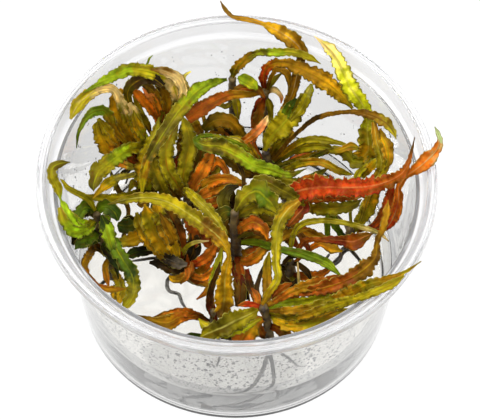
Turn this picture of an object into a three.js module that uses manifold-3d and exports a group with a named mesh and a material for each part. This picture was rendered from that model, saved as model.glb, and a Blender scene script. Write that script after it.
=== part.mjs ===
// Cryptocoryne crispatula plantlets in an open tissue-culture cup, standing in a bed of clear gel.
// Millimetres, Z up, the middle of the cup's underside at the origin, the near side of the cup at -Y.

import * as THREE from 'three';
import { mergeVertices } from 'three/addons/utils/BufferGeometryUtils.js';
import Module from 'manifold-3d';

const wasm = await Module();
wasm.setup();

// Cup: a thin clear moulding with a stepped rim and a short outer skirt
const RIM_RADIUS = 59;
const CUP_HEIGHT = 61.3;
const WALL = 1;
const FLOOR_THICKNESS = 1.2;
const FLOOR_RADIUS = 46;
const WALL_FLARE = 0.1225;
const LEDGE_Z = 57.3;
const LEDGE_WIDTH = 2;
const LIP_RADIUS = 56.1;
const SKIRT_HEIGHT = 3.6;
const CORNER = 0.6;
const CUP_SIDES = 48;

// Gel: clear agar poured on the floor, drawn up a little where it meets the wall
const GEL_Z = 16.5;
const GEL_EDGE_Z = 17.2;
const EDGE_RISE_WIDTH = 2.2;
const GAP = 0.3;

// Plants
const STATION_SPACING = 3.6;
const BLADE_THICKNESS = 0.6;
const FOLD = 0.07;
const RUFFLE_LENGTH = 7.5;
const RUFFLE_SHARE = 0.2;
const EDGE_LAG = 2.2;
const ROD_SPACING = 8;
const SOCKET_SPACING = 0.6;
const STEM_SIDES = 8;
const ROOT_SIDES = 5;
const POCKET_CLEARANCE = 0.5;

// A blade's upper face turns to the light, which falls from above and a little in front.
const LIGHT = new THREE.Vector3(0, -0.54, 0.84);

const COLOURS = {
  cup: '#dfe4e2',
  gel: '#cfd6cf',
  stem: '#3a2c1c',
};

const specimen = new THREE.Group();
specimen.name = 'cryptocoryne_crispatula_cup';

// Inner radius of the cup's sloping wall at height z.
function innerRadius(z) {
  return FLOOR_RADIUS + WALL_FLARE * (z - FLOOR_THICKNESS);
}

// Adds one closed body to the specimen as a named mesh.
function addBody(name, geometry, colour) {
  geometry.computeVertexNormals();
  const material = new THREE.MeshStandardMaterial({ color: colour, side: THREE.FrontSide });
  material.name = `${name}_material`;
  const mesh = new THREE.Mesh(geometry, material);
  mesh.name = name;
  specimen.add(mesh);
}

// Turns a closed geometry into a solid that can be joined and cut.
function solidFrom(geometry) {
  const bare = new THREE.BufferGeometry();
  bare.setAttribute('position', geometry.getAttribute('position').clone());
  bare.setIndex(geometry.getIndex());
  const merged = mergeVertices(bare, 1e-5);
  const mesh = new wasm.Mesh({
    numProp: 3,
    vertProperties: new Float32Array(merged.getAttribute('position').array),
    triVerts: new Uint32Array(merged.getIndex().array),
  });
  return new wasm.Manifold(mesh);
}

// Turns a joined or cut solid back into a geometry.
function geometryFrom(solid) {
  const mesh = solid.getMesh();
  const geometry = new THREE.BufferGeometry();
  geometry.setAttribute('position', new THREE.BufferAttribute(mesh.vertProperties, 3));
  geometry.setIndex(new THREE.BufferAttribute(mesh.triVerts, 1));
  return geometry;
}

// Skins a row of equal rings and closes both ends; each ring runs anticlockwise seen from ahead.
// Mirrored turns the diagonals of the odd sides, which keeps a thin blade's two skins parallel.
function skinRings(rings, mirrored = false) {
  const count = rings[0].length;
  const positions = rings.flat().flatMap((point) => point.toArray());
  const triangles = [];
  for (let ring = 0; ring < rings.length - 1; ring += 1) {
    for (let side = 0; side < count; side += 1) {
      const next = (side + 1) % count;
      const a = ring * count + side;
      const b = ring * count + next;
      const c = (ring + 1) * count + next;
      const d = (ring + 1) * count + side;
      if (mirrored && side % 2 === 1) {
        triangles.push(a, b, d, b, c, d);
      } else {
        triangles.push(a, b, c, a, c, d);
      }
    }
  }
  const last = (rings.length - 1) * count;
  for (let side = 1; side < count - 1; side += 1) {
    triangles.push(0, side + 1, side);
    triangles.push(last, last + side, last + side + 1);
  }
  const geometry = new THREE.BufferGeometry();
  geometry.setAttribute('position', new THREE.Float32BufferAttribute(positions, 3));
  geometry.setIndex(triangles);
  return geometry;
}

// Walks a route of [x, y, z, size] points along a smooth curve and returns its stations: every
// route point, and more between two of them where they lie further apart than the spacing.
function stationsAlong(route, spacing) {
  const points = route.map(([x, y, z]) => new THREE.Vector3(x, y, z));
  const curve = new THREE.CatmullRomCurve3(points, false, 'catmullrom', 0.5);
  const legs = route.length - 1;
  const stations = [];
  let walked = 0;
  for (let leg = 0; leg < legs; leg += 1) {
    const length = points[leg].distanceTo(points[leg + 1]);
    const steps = Math.max(1, Math.round(length / spacing));
    for (let step = leg === 0 ? 0 : 1; step <= steps; step += 1) {
      const share = step / steps;
      const t = (leg + share) / legs;
      const ease = THREE.MathUtils.smoothstep(share, 0, 1);
      stations.push({
        centre: curve.getPoint(t),
        ahead: curve.getTangent(t),
        size: THREE.MathUtils.lerp(route[leg][3], route[leg + 1][3], ease),
        along: walked + share * length,
      });
    }
    walked += length;
  }
  return stations;
}

// Gives every station a sideways direction across the blade, without a sudden turn between two of them.
function setAcross(stations) {
  let previous = null;
  for (const station of stations) {
    const face = LIGHT.clone().addScaledVector(station.ahead, -LIGHT.dot(station.ahead));
    const across = new THREE.Vector3().crossVectors(station.ahead, face).normalize();
    if (previous && across.dot(previous) < 0) {
      across.negate();
    }
    station.across = across;
    previous = across;
  }
  const raw = stations.map((station) => station.across.clone());
  stations.forEach((station, index) => {
    const before = raw[Math.max(0, index - 1)];
    const after = raw[Math.min(raw.length - 1, index + 1)];
    station.across.add(before).add(after);
    station.across.addScaledVector(station.ahead, -station.across.dot(station.ahead)).normalize();
  });
}

// A ribbon leaf: a thin four-sided blade with a shallow fold and rising and falling edges.
function bladeGeometry(route, ruffle) {
  const stations = stationsAlong(route, STATION_SPACING);
  setAcross(stations);
  const rings = stations.map(({ centre, ahead, across, size, along }) => {
    const face = new THREE.Vector3().crossVectors(across, ahead);
    const half = size / 2;
    const wave = Math.min(ruffle, RUFFLE_SHARE * size);
    const phase = (2 * Math.PI * along) / RUFFLE_LENGTH;
    const thick = Math.min(BLADE_THICKNESS, 0.3 + 0.3 * size) / 2;
    const place = (side, rise) => centre.clone().addScaledVector(across, side).addScaledVector(face, rise);
    return [
      place(0, thick),
      place(half, FOLD * size + wave * Math.sin(phase)),
      place(0, -thick),
      place(-half, FOLD * size + wave * Math.sin(phase + EDGE_LAG)),
    ];
  });
  return skinRings(rings, true);
}

// A round stem or root; sizes along the route are radii, and extra is added all round and at both ends.
function rodGeometry(route, sides, extra = 0) {
  const stations = stationsAlong(route, ROD_SPACING);
  stations[0].centre.addScaledVector(stations[0].ahead, -extra);
  stations.at(-1).centre.addScaledVector(stations.at(-1).ahead, extra);
  const upright = Math.abs(stations[0].ahead.z) > 0.8;
  const first = upright ? new THREE.Vector3(1, 0, 0) : new THREE.Vector3(0, 0, 1);
  const rings = stations.map(({ centre, ahead, size }) => {
    first.addScaledVector(ahead, -first.dot(ahead)).normalize();
    const second = new THREE.Vector3().crossVectors(ahead, first);
    const radius = size + extra;
    return Array.from({ length: sides }, (_, side) => {
      const angle = (2 * Math.PI * side) / sides;
      return centre
        .clone()
        .addScaledVector(first, radius * Math.cos(angle))
        .addScaledVector(second, radius * Math.sin(angle));
    });
  });
  return skinRings(rings);
}

// A young leaf's route, carried back to the stem's centre line where it starts outside it.
function rootedRoute(stem, route) {
  const [x, y, z, size] = route[0];
  const start = new THREE.Vector3(x, y, z);
  const centres = stationsAlong(stem, SOCKET_SPACING).map((station) => station.centre);
  const nearest = centres.reduce(
    (best, next) => (next.distanceTo(start) < best.distanceTo(start) ? next : best),
  );
  if (nearest.distanceTo(start) < SOCKET_SPACING) {
    return route;
  }
  return [[...nearest.toArray(), size], ...route];
}

const pocketCutters = [];

// One plantlet: a short woody crown with its roots and youngest leaves in one piece, and its long
// leaves as pieces of their own that start just off the crown.
function addPlantlet(name, { stem, roots = [], young = {}, leaves = {} }) {
  let crown = solidFrom(rodGeometry(stem, STEM_SIDES));
  pocketCutters.push(solidFrom(rodGeometry(stem, STEM_SIDES, POCKET_CLEARANCE)));
  for (const root of roots) {
    crown = crown.add(solidFrom(rodGeometry(root, ROOT_SIDES)));
    pocketCutters.push(solidFrom(rodGeometry(root, ROOT_SIDES, POCKET_CLEARANCE)));
  }
  for (const [ruffle, route] of Object.values(young)) {
    crown = crown.add(solidFrom(bladeGeometry(rootedRoute(stem, route), ruffle)));
  }
  addBody(`crown_${name}`, geometryFrom(crown), COLOURS.stem);
  for (const [leaf, [colour, ruffle, route]] of Object.entries(leaves)) {
    addBody(`leaf_${leaf}`, bladeGeometry(route, ruffle), colour);
  }
}

// The cup, turned from one closed profile.
function cupGeometry() {
  const floorEdge = FLOOR_RADIUS + WALL;
  const ledgeInner = innerRadius(LEDGE_Z);
  const ledgeOuter = ledgeInner + LEDGE_WIDTH;
  const skirtZ = CUP_HEIGHT - SKIRT_HEIGHT;
  const profile = [
    [0, 0],
    [floorEdge - CORNER, 0],
    [floorEdge, CORNER],
    [ledgeInner + WALL, LEDGE_Z - WALL],
    [ledgeOuter + WALL, LEDGE_Z - WALL],
    [LIP_RADIUS + WALL, CUP_HEIGHT - WALL],
    [RIM_RADIUS - WALL, CUP_HEIGHT - WALL],
    [RIM_RADIUS - WALL, skirtZ],
    [RIM_RADIUS, skirtZ],
    [RIM_RADIUS, CUP_HEIGHT - CORNER],
    [RIM_RADIUS - CORNER, CUP_HEIGHT],
    [LIP_RADIUS, CUP_HEIGHT],
    [ledgeOuter, LEDGE_Z],
    [ledgeInner, LEDGE_Z],
    [FLOOR_RADIUS + CORNER, FLOOR_THICKNESS + 3 * CORNER],
    [FLOOR_RADIUS - CORNER, FLOOR_THICKNESS],
    [0, FLOOR_THICKNESS],
  ];
  const outline = profile.map(([radius, z]) => new THREE.Vector2(radius, z));
  return new THREE.LatheGeometry(outline, CUP_SIDES).rotateX(Math.PI / 2);
}

// The gel, a low disc just clear of the cup, before the plants' pockets are taken out of it.
function gelGeometry() {
  const bottomZ = FLOOR_THICKNESS + GAP;
  const bottomRadius = FLOOR_RADIUS - CORNER - GAP;
  const cornerZ = FLOOR_THICKNESS + 3 * CORNER + GAP;
  const edgeRadius = innerRadius(GEL_EDGE_Z) - 1.5 * GAP;
  const profile = [
    [0, bottomZ],
    [bottomRadius, bottomZ],
    [innerRadius(cornerZ) - 1.5 * GAP, cornerZ],
    [edgeRadius, GEL_EDGE_Z],
    [edgeRadius - EDGE_RISE_WIDTH / 3, GEL_Z + 0.2],
    [edgeRadius - EDGE_RISE_WIDTH, GEL_Z],
    [0, GEL_Z],
  ];
  const outline = profile.map(([radius, z]) => new THREE.Vector2(radius, z));
  return new THREE.LatheGeometry(outline, CUP_SIDES).rotateX(Math.PI / 2);
}

addBody('cup', geometryFrom(solidFrom(cupGeometry())), COLOURS.cup);

// Back plantlet, a bare stem close to the far wall with three arching leaves at its top
addPlantlet('back', {
  stem: [[-1, 45, 12, 1.1], [-1, 45, 18, 1.3], [-1.5, 46, 25, 1.2], [-2, 46.5, 34, 1.1],
    [-2, 46.5, 45, 1.1]],
  roots: [
    [[-1, 45, 13, 0.6], [-4, 42.5, 12, 0.5], [-9, 41, 12.5, 0.3]],
    [[-1, 45, 13, 0.6], [2, 42, 11, 0.5], [3, 38, 12, 0.3]],
  ],
  young: {
    pale_drop: [0.3, [[-2, 47, 41, 1.2], [-1.5, 45, 39.5, 2.4], [-0.5, 43, 35, 2.5], [0, 41.5, 30, 0.9]]],
  },
  leaves: {
    back_long_green: ['#93a516', 0.5, [
      [-3.7, 46, 45, 0.9], [-8, 42.5, 48, 2.4], [-13, 38, 49.5, 4.2], [-18, 30.5, 50, 4.2],
      [-22.5, 23.5, 48, 3.6], [-26.5, 17, 45, 2.7], [-28, 13, 41, 2.4], [-28.5, 10.5, 36, 0.9],
    ]],
    back_short_green: ['#82971c', 0.5, [
      [-0.3, 46.8, 45, 0.9], [1.5, 45.5, 46, 3.3], [4.2, 44.2, 45.3, 3.2], [5.6, 42.8, 44.5, 0.9],
    ]],
    back_olive_arch: ['#7f7a1c', 0.8, [
      [-2, 46.5, 45.6, 1.2], [-1, 46.5, 50, 2.7], [2, 46.5, 55, 2.7], [5.5, 47, 58, 1.8],
      [10.5, 45.5, 60.5, 2.4], [16, 44.5, 62, 2.1], [20.5, 43.5, 61.5, 2.1], [24.5, 42, 60, 0.3],
    ]],
  },
});

// Back right plantlet, beside the first, with a red arch over it and small hanging leaves
addPlantlet('back_right', {
  stem: [[9, 44, 12, 1.1], [9, 44, 18, 1.3], [8.5, 45, 25, 1.2], [8, 45.5, 33, 1.1], [8, 45.5, 40, 1.2]],
  roots: [
    [[9, 44, 13, 0.6], [13, 41.5, 12, 0.5], [17, 39.5, 12.5, 0.3]],
    [[9, 44, 13, 0.6], [8.5, 40.5, 11, 0.4], [6.5, 37, 12, 0.3]],
  ],
  young: {
    dark_spur: [0.3, [[8.5, 46, 39, 1.2], [10.5, 47, 43.5, 1.8], [13, 48, 46, 0.6]]],
    beige_curl: [0.2, [[8.7, 45.5, 39, 1.2], [11, 45.2, 41, 1.8], [13, 43.5, 40, 1.2], [13, 42, 38.5, 0.4]]],
    red_hanger: [0.4, [[7, 44.5, 37.5, 1.5], [6.5, 43, 36.5, 2.8], [5.5, 41.5, 32, 2.8],
      [4.5, 40.5, 27, 1.2]]],
    yellow_hanger: [0.3, [[8.5, 45, 37, 1.2], [9.5, 44, 35, 2.1], [10, 42.5, 30.5, 1.5],
      [9.5, 41, 26, 0.4]]],
  },
  leaves: {
    red_arch: ['#7d4d12', 1.0, [
      [7.8, 46, 40.7, 1.5], [7.5, 46.5, 46, 2.4], [9, 47, 51, 2.7], [13, 45.5, 55, 2.7],
      [19, 42, 57, 3.9], [25, 39, 56, 5.1], [30, 36.5, 53, 4.2], [34.5, 33.5, 49, 0.9],
    ]],
    orange_bridge: ['#b0661a', 0.3, [
      [6.2, 44.5, 40, 1.2], [2.5, 43, 41.5, 2.1], [-2.5, 41, 44, 2.7], [-7.5, 37.5, 45.5, 3.6],
      [-12, 34, 45.5, 4.2], [-15.5, 32, 44, 3.6],
    ]],
  },
});

// Centre back plantlet, a crowded crown whose longest leaf leaves the cup over the far rim
addPlantlet('centre_back', {
  stem: [[9.5, 30, 12, 1.6], [9.5, 30.5, 18, 2.1], [9, 30.5, 25, 1.4], [8.5, 30.5, 29, 1.1]],
  roots: [
    [[9.5, 30, 13, 0.7], [14, 27, 11, 0.5], [19, 26, 12, 0.3]],
    [[9.5, 30, 13, 0.7], [6, 25, 10, 0.5], [4, 20, 11, 0.3]],
    [[9.5, 30, 14, 0.7], [12, 35, 12, 0.4], [11, 38, 9, 0.3]],
  ],
  young: {
    green_across: [0.2, [[10, 31.5, 21.5, 1.2], [15, 33, 23.5, 1.5], [19, 33.5, 26.5, 2.1],
      [23, 32.5, 28.5, 1.5],
      [25, 32, 29, 0.4]]],
    orange_blade: [0.4, [[10.5, 29, 18.5, 0.9], [15, 30.5, 20, 3.4], [19.5, 32.5, 22, 4.0],
      [22.5, 33, 23.5, 2.2],
      [24, 32, 23.5, 0.4]]],
    yellow_centre: [0.3, [[8.5, 31, 21, 1.5], [5.5, 29.5, 25.5, 2.8], [3.5, 30.5, 29, 3.4],
      [0.5, 32, 31.5, 2.8],
      [-2.5, 32.5, 32.5, 0.6]]],
    pink_orange: [0.3, [[9, 31, 22, 1.2], [6.5, 32.5, 25, 1.2], [4.5, 34.5, 28.5, 2.1], [6.5, 36, 33, 2.1],
      [8.5, 38, 36.5, 0.4]]],
    brown_bend: [0.5, [[7.5, 31.5, 20.5, 1.2], [4, 32.5, 25, 1.5], [1.5, 34, 30, 2.8],
      [-0.5, 35.5, 34.5, 3.4],
      [-3.5, 36, 37.5, 4.3], [-7.5, 35.5, 37.5, 4.3], [-10.5, 34.5, 34.5, 2.4]]],
  },
  leaves: {
    over_far_rim: ['#8a6d1b', 0.7, [
      [9.7, 32, 28.5, 1.2], [11.5, 35.5, 30, 1.2], [12.5, 39, 34, 2.1], [15, 41, 39.5, 2.7],
      [16.5, 43, 43.5, 2.7], [17.5, 45.5, 48, 2.7], [18.5, 47, 54, 2.4], [18.5, 48, 58.5, 3.3],
      [15.5, 49, 62.5, 4.5], [11, 52, 63, 3.6], [6.5, 54, 63.5, 1.2], [2, 55, 64, 1.5],
      [-2, 55.5, 64.5, 1.2], [-4.5, 57.5, 65.5, 1.1], [-6, 59.5, 67, 0.3],
    ]],
    pale_swan_neck: ['#b3b52c', 0.8, [
      [11.5, 29.3, 23, 0.9], [18.5, 30, 26, 1.2], [26, 30, 30.5, 1.2], [30.5, 29.5, 33, 1.5],
      [33.5, 26, 34.5, 3.0], [37, 23.5, 37, 3.6], [39.5, 24, 41, 5.4], [39, 27, 46, 5.1],
      [39, 30, 49.5, 2.7], [37, 32, 54, 4.2], [33.5, 34.5, 58.5, 4.8], [31, 39.5, 60.5, 4.2],
      [28, 45, 62, 3.3], [22.5, 50, 63, 0.3],
    ]],
    tall_olive: ['#8f8d1c', 1.0, [
      [8.2, 30.5, 29.6, 1.2], [10, 33, 33, 4.3], [13, 35, 36, 6.7], [16.5, 37.5, 39.5, 5.8],
      [19.5, 39.5, 44, 3.6], [21, 40, 47.5, 2.1], [22, 41.5, 50, 0.3],
    ]],
    thin_brown_arch: ['#6b3a0f', 0.5, [
      [10.8, 29.5, 26, 1.2], [14.5, 31, 32, 1.2], [18.5, 31.5, 39, 1.2], [24, 32, 46, 1.5],
      [32.5, 29.5, 53, 1.2], [39, 26, 57, 2.4], [43.5, 22.5, 58.5, 3.3], [46, 19, 59, 1.8],
      [47, 16, 59, 0.3],
    ]],
    olive_across: ['#6c6415', 0.5, [
      [11.2, 31.3, 23, 1.2], [15.5, 31.5, 29, 1.8], [20, 30, 36, 2.1], [25.5, 28.5, 39, 2.4],
      [31, 26.5, 40.5, 1.2], [34, 25.5, 40.5, 0.3],
    ]],
    snake_olive: ['#93901f', 0.3, [
      [11.8, 28.5, 21, 0.9], [15.5, 26.5, 26, 1.8], [20, 24, 33, 2.4], [25.5, 22, 36.5, 2.4],
      [30.5, 19.5, 36, 2.1], [33.5, 19.5, 34.5, 1.2], [35, 19.5, 34, 0.3],
    ]],
    bright_green_turn: ['#7fa015', 0.6, [
      [7, 29.4, 27, 0.9], [3, 28, 34.5, 1.2], [-4, 28.5, 39, 1.2], [-10, 28, 41, 1.2],
      [-12.5, 25, 43, 1.8], [-10, 22.5, 44, 3.6], [-5.5, 22.5, 43.5, 5.1], [0, 20.5, 42.5, 4.2],
      [4.5, 18, 41, 3.9], [10, 17.5, 39, 3.3], [15.5, 17, 37, 2.1], [21, 20, 36, 0.3],
    ]],
  },
});

// Centre right plantlet with the long red leaf that reaches over the right-hand rim
addPlantlet('centre_right', {
  stem: [[15, 13.5, 12, 1.4], [15, 13.5, 18, 1.8], [15, 13, 24, 1.5], [15, 12.5, 32, 1.2]],
  roots: [
    [[15, 13.5, 13, 0.7], [20, 10, 11, 0.5], [22, 5, 12, 0.3]],
    [[15, 13.5, 13, 0.7], [11, 17, 10.5, 0.5], [9, 21.5, 9, 0.3]],
  ],
  young: {
    orange_under: [0.5, [[15.5, 12.5, 29, 1.2], [17.5, 15, 33, 2.1], [21, 17, 34.5, 2.7],
      [24.5, 16.5, 36, 2.4],
      [27.5, 16.5, 37, 0.6]]],
  },
  leaves: {
    red_over_right_rim: ['#a8300f', 1.2, [
      [15.2, 12.3, 32.7, 1.5], [19.5, 9, 41, 6.0], [25.5, 7.5, 45, 6.3], [32, 5, 49, 5.3],
      [39, 3, 53, 5.0], [44.5, 2, 57.5, 3.8], [48.5, 2.5, 61.5, 2.6], [50.5, 5.5, 64, 1.2],
      [52, 11.5, 67, 0.3],
    ]],
    olive_right: ['#6f6a15', 0.6, [
      [16.7, 11.1, 27, 1.2], [20.5, 8, 33, 2.4], [25.5, 5, 37, 3.6], [31, 3.5, 40, 3.6],
      [35, 4.5, 40.5, 2.4], [37.5, 6.5, 40.5, 0.3],
    ]],
  },
});

// Centre front plantlet, low in the gel, with a thin bowed leaf and a red one
addPlantlet('centre_front', {
  stem: [[16.5, -6, 12, 1.6], [16.5, -6, 18, 2.0], [16.5, -6, 24.5, 1.2]],
  roots: [
    [[16.5, -6, 13, 0.7], [20, -10, 11, 0.5], [22, -15, 12, 0.3]],
    [[16.5, -6, 13, 0.7], [12, -9, 11, 0.5], [9, -13, 9.5, 0.3]],
  ],
  young: {
    orange_short: [0.3, [[17, -6, 22, 1.2], [20.5, -3.5, 24.5, 1.2], [25, -2, 28.5, 1.8],
      [29, -4.5, 30, 3.0],
      [32, -5.5, 30, 0.6]]],
    thin_spike: [0.1, [[17, -7, 18.5, 1.5], [18.5, -12.5, 20, 1.5], [19.5, -16.5, 24, 1.2],
      [19, -16.5, 31, 0.9],
      [18.5, -14, 37, 0.4]]],
  },
  leaves: {
    bowed_olive: ['#8b8424', 0.3, [
      [16.2, -6.4, 25.1, 1.2], [16.5, -4.5, 29, 1.2], [17, -3.5, 34, 1.5], [18.5, -3.5, 40, 1.8],
      [21.5, -3.5, 43, 1.8], [26.5, -3.5, 44, 1.5], [33, -5, 45, 1.5], [38.5, -6, 44, 1.5],
      [42.5, -7, 43, 1.2], [45.5, -8.5, 41, 0.3],
    ]],
    red_right: ['#8a3410', 0.6, [
      [18, -5, 25.2, 1.2], [19, -3.5, 28, 1.5], [21, -2.5, 31, 1.8], [25, -4, 34, 1.5],
      [31.5, -6, 37, 2.7], [35, -7, 38, 5.1], [38, -6, 39, 3.0], [41, -4.5, 39, 0.3],
    ]],
  },
});

// Right plantlet with looped roots and a leaf that bends down over the right-hand rim
addPlantlet('right', {
  stem: [[34.5, 6, 12, 1.4], [34.5, 6, 18, 1.6], [34.8, 6.5, 24, 1.1]],
  roots: [
    [[34.5, 6, 14.5, 0.7], [32.4, 4, 15, 0.6], [31.8, 0.5, 15, 0.6], [29.5, -1.5, 15, 0.5],
      [27.5, 0, 15, 0.5],
      [28.5, 2.5, 14.5, 0.4]],
    [[34.5, 6, 13, 0.7], [31, 2, 11.5, 0.5], [27.5, -2.5, 13.5, 0.5], [25, -6.5, 14, 0.3]],
    [[34.5, 6, 13, 0.7], [38, 2, 11, 0.5], [40, -3, 12, 0.3]],
  ],
  young: {
    root_loop: [0.1, [[34.5, 7.5, 18.4, 0.9], [33.3, 11, 18.8, 0.9], [30.5, 13.7, 19.5, 0.9],
      [29.3, 12.2, 18.4, 0.5]]],
    small_yellow: [0.2, [[35, 6.5, 23, 0.9], [34.5, 11.5, 29, 0.9], [35.5, 14.5, 35, 1.2],
      [36.5, 16.5, 38.5, 2.1],
      [38.5, 18, 40.5, 1.8], [40.5, 19.5, 41, 0.4]]],
    green_stem: [0.2, [[34.5, 6, 19, 1.2], [31, 3, 21.5, 1.2], [28, 2.5, 25, 1.5], [27.5, 5, 30, 1.8],
      [27.5, 7, 33, 0.4]]],
  },
  leaves: {
    right_tall: ['#8f8d1a', 0.5, [
      [35.6, 6.2, 24.8, 1.2], [38, 6.5, 30, 3.6], [40, 8, 35, 4.2], [41.5, 9.5, 42, 3.3],
      [44, 12.5, 47.5, 2.1], [45, 15, 50.5, 3.0], [44.5, 17.5, 52.5, 3.6], [43, 20.5, 53.5, 2.4],
      [42.5, 23, 54, 0.6],
    ]],
    orange_over_right_rim: ['#b5671f', 0.6, [
      [36.7, 6.3, 22.5, 0.9], [41, 3.5, 29, 0.9], [45, -1, 37, 1.8], [47, -1.5, 45, 3.3],
      [48, 1, 50, 2.7], [48, 2.5, 54, 1.8], [50, 3.5, 58.5, 1.5], [52.5, 3.5, 62, 2.9],
      [55.5, 5.5, 63.5, 4.4], [58.5, 8.5, 65, 2.6], [59.5, 11.5, 65.5, 1.5], [59, 14, 65.5, 1.2],
      [58, 16, 66, 0.3],
    ]],
  },
});

// Middle plantlet, a dark stem with broad curled leaves at its top
addPlantlet('centre', {
  stem: [[0, 0, 12, 1.4], [0, 0, 18, 1.8], [0, 0, 25, 1.5], [-0.5, 0, 33, 1.4], [-0.5, 1, 41, 1.2]],
  roots: [
    [[0, 0, 13, 0.7], [-5, -3, 11, 0.5], [-9, -8, 11.5, 0.3]],
    [[0, 0, 13, 0.7], [3, 5, 10.5, 0.5], [8, 9, 11, 0.3]],
  ],
  young: {
    heart_left: [1.0, [[-1, 1.5, 39.5, 1.2], [-3, 2, 39, 3.9], [-5, 2, 36, 4.2], [-7, 1, 33, 0.9]]],
    brown_curl: [0.7, [[-0.3, 0.5, 32, 1.5], [1.5, 2.5, 35, 4.2], [4, 1, 36, 6.0], [6.5, -1, 35, 4.2],
      [8.5, -3, 33, 0.6]]],
    red_blade: [0.4, [[0, -0.5, 19, 1.2], [1, -5, 21, 2.1], [2, -10.5, 22, 2.7], [3, -14, 21, 2.1],
      [4.5, -17, 19, 0.6]]],
  },
  leaves: {
    olive_heart: ['#6f7318', 1.0, [
      [-0.3, 0.8, 41.6, 1.2], [2.5, 3.5, 45, 5.1], [6, 5, 46, 6.6], [9.5, 2.5, 45, 5.7], [12.5, 0, 42, 1.2],
    ]],
    orange_diagonal: ['#8d5016', 0.6, [
      [1.9, -1.2, 22.5, 1.2], [4, -4.5, 25.5, 3.3], [8, -3.5, 28, 3.6], [13, -1.5, 30, 2.7],
      [16.5, 0, 31, 2.7], [22, 0.5, 32.5, 0.3],
    ]],
    deep_green: ['#4e7d14', 0.3, [
      [1.7, -1, 27, 1.2], [6.5, -3, 30, 2.1], [13.5, -6.5, 32, 2.1], [21, -8.5, 32.5, 2.7],
      [27, -11.5, 33, 2.7], [32, -16.5, 33, 0.6],
    ]],
  },
});

// Front plantlet, an upright stem by the near wall with leaves fanning out both ways
addPlantlet('front', {
  stem: [[10.5, -29, 12, 1.3], [10.5, -29, 18, 1.5], [10, -28.5, 24, 1.3], [9.5, -28.5, 30, 1.2],
    [8.5, -28.5, 35, 1.3]],
  roots: [
    [[10.5, -29, 13, 0.7], [8, -37, 9, 0.6], [4, -43, 9, 0.6], [-1, -44.2, 7, 0.6], [-6, -44, 5, 0.4]],
    [[10.5, -29, 13, 0.7], [12, -38, 6, 0.5], [9, -43.2, 7.5, 0.4], [4.5, -44.2, 5, 0.4],
      [0.5, -44.2, 3.2, 0.3]],
    [[10.5, -29, 14, 0.7], [15, -31, 12, 0.5], [19, -35, 12.5, 0.3]],
  ],
  young: {
    green_crisp: [1.0, [[9.5, -28, 31, 1.2], [12, -26.5, 33.5, 2.4], [15.5, -26.5, 35, 2.7],
      [20.5, -27.5, 37, 2.4],
      [25.5, -27.5, 39.5, 2.4], [32.5, -26, 42.5, 2.4], [34.5, -25, 43.5, 0.4]]],
    orange_front: [0.6, [[9, -28.8, 29, 1.5], [6, -30, 28.5, 4.2], [4, -32, 27, 6.5], [2, -34, 24.5, 5.9],
      [0.5, -35.5, 22, 1.5]]],
    brown_stalk: [0.3, [[9.5, -27.7, 31, 1.5], [9.5, -23.5, 33, 2.4], [9.5, -19, 35, 2.7],
      [9.5, -15.5, 38, 2.4],
      [10, -13, 41, 0.6]]],
  },
  leaves: {
    long_s_leaf: ['#9a5717', 1.0, [
      [9.9, -27.8, 35.6, 1.2], [15.5, -26.5, 39, 2.4], [21.5, -27, 42, 2.6], [27.5, -27, 45, 4.1],
      [33, -26, 47.5, 3.8], [37.5, -23.5, 49, 4.7], [41, -19.5, 50, 2.6], [41.5, -15.5, 52, 1.5],
      [43, -12.5, 54.5, 1.8], [44, -8.5, 56.5, 2.1], [44.5, -4.5, 57.5, 0.3],
    ]],
    long_front: ['#8a7a1a', 0.9, [
      [10.3, -29.3, 34.5, 0.9], [15, -32.5, 40, 2.1], [21, -33.5, 43, 2.6], [28, -33.5, 47, 3.5],
      [33.5, -34, 52.5, 4.4], [37, -35, 58.5, 3.4], [40, -36, 62.2, 2.8], [44.5, -35, 63, 2.3],
      [49, -33, 64, 0.9], [53.5, -30, 65, 0.3],
    ]],
    front_wall: ['#958a1c', 0.7, [
      [11, -29.5, 31.5, 1.2], [13, -33, 34.5, 2.1], [16.5, -36, 37, 3.2], [21.5, -36.5, 39, 4.4],
      [27, -36, 41, 4.1], [31.5, -34, 42, 2.3], [34, -33, 43, 0.3],
    ]],
    yellow_front: ['#9ba02a', 0.9, [
      [6.9, -29.5, 35.3, 0.9], [4.5, -32.5, 37.5, 3.5], [0.5, -34.5, 37, 5.9], [-3.5, -36, 35.5, 5.3],
      [-7.5, -36.5, 33, 4.1], [-10, -37, 31, 0.6],
    ]],
    yellow_twist: ['#a8a01e', 0.7, [
      [8.1, -28, 35.6, 0.9], [10, -27, 41, 2.1], [12.5, -24, 44, 2.1], [12, -20, 46.5, 2.4],
      [12, -15.5, 49.5, 2.9], [12.5, -10.5, 52, 3.5], [15, -6.5, 54, 4.1], [18.5, -3.5, 54.5, 1.8],
    ]],
  },
});

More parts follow.
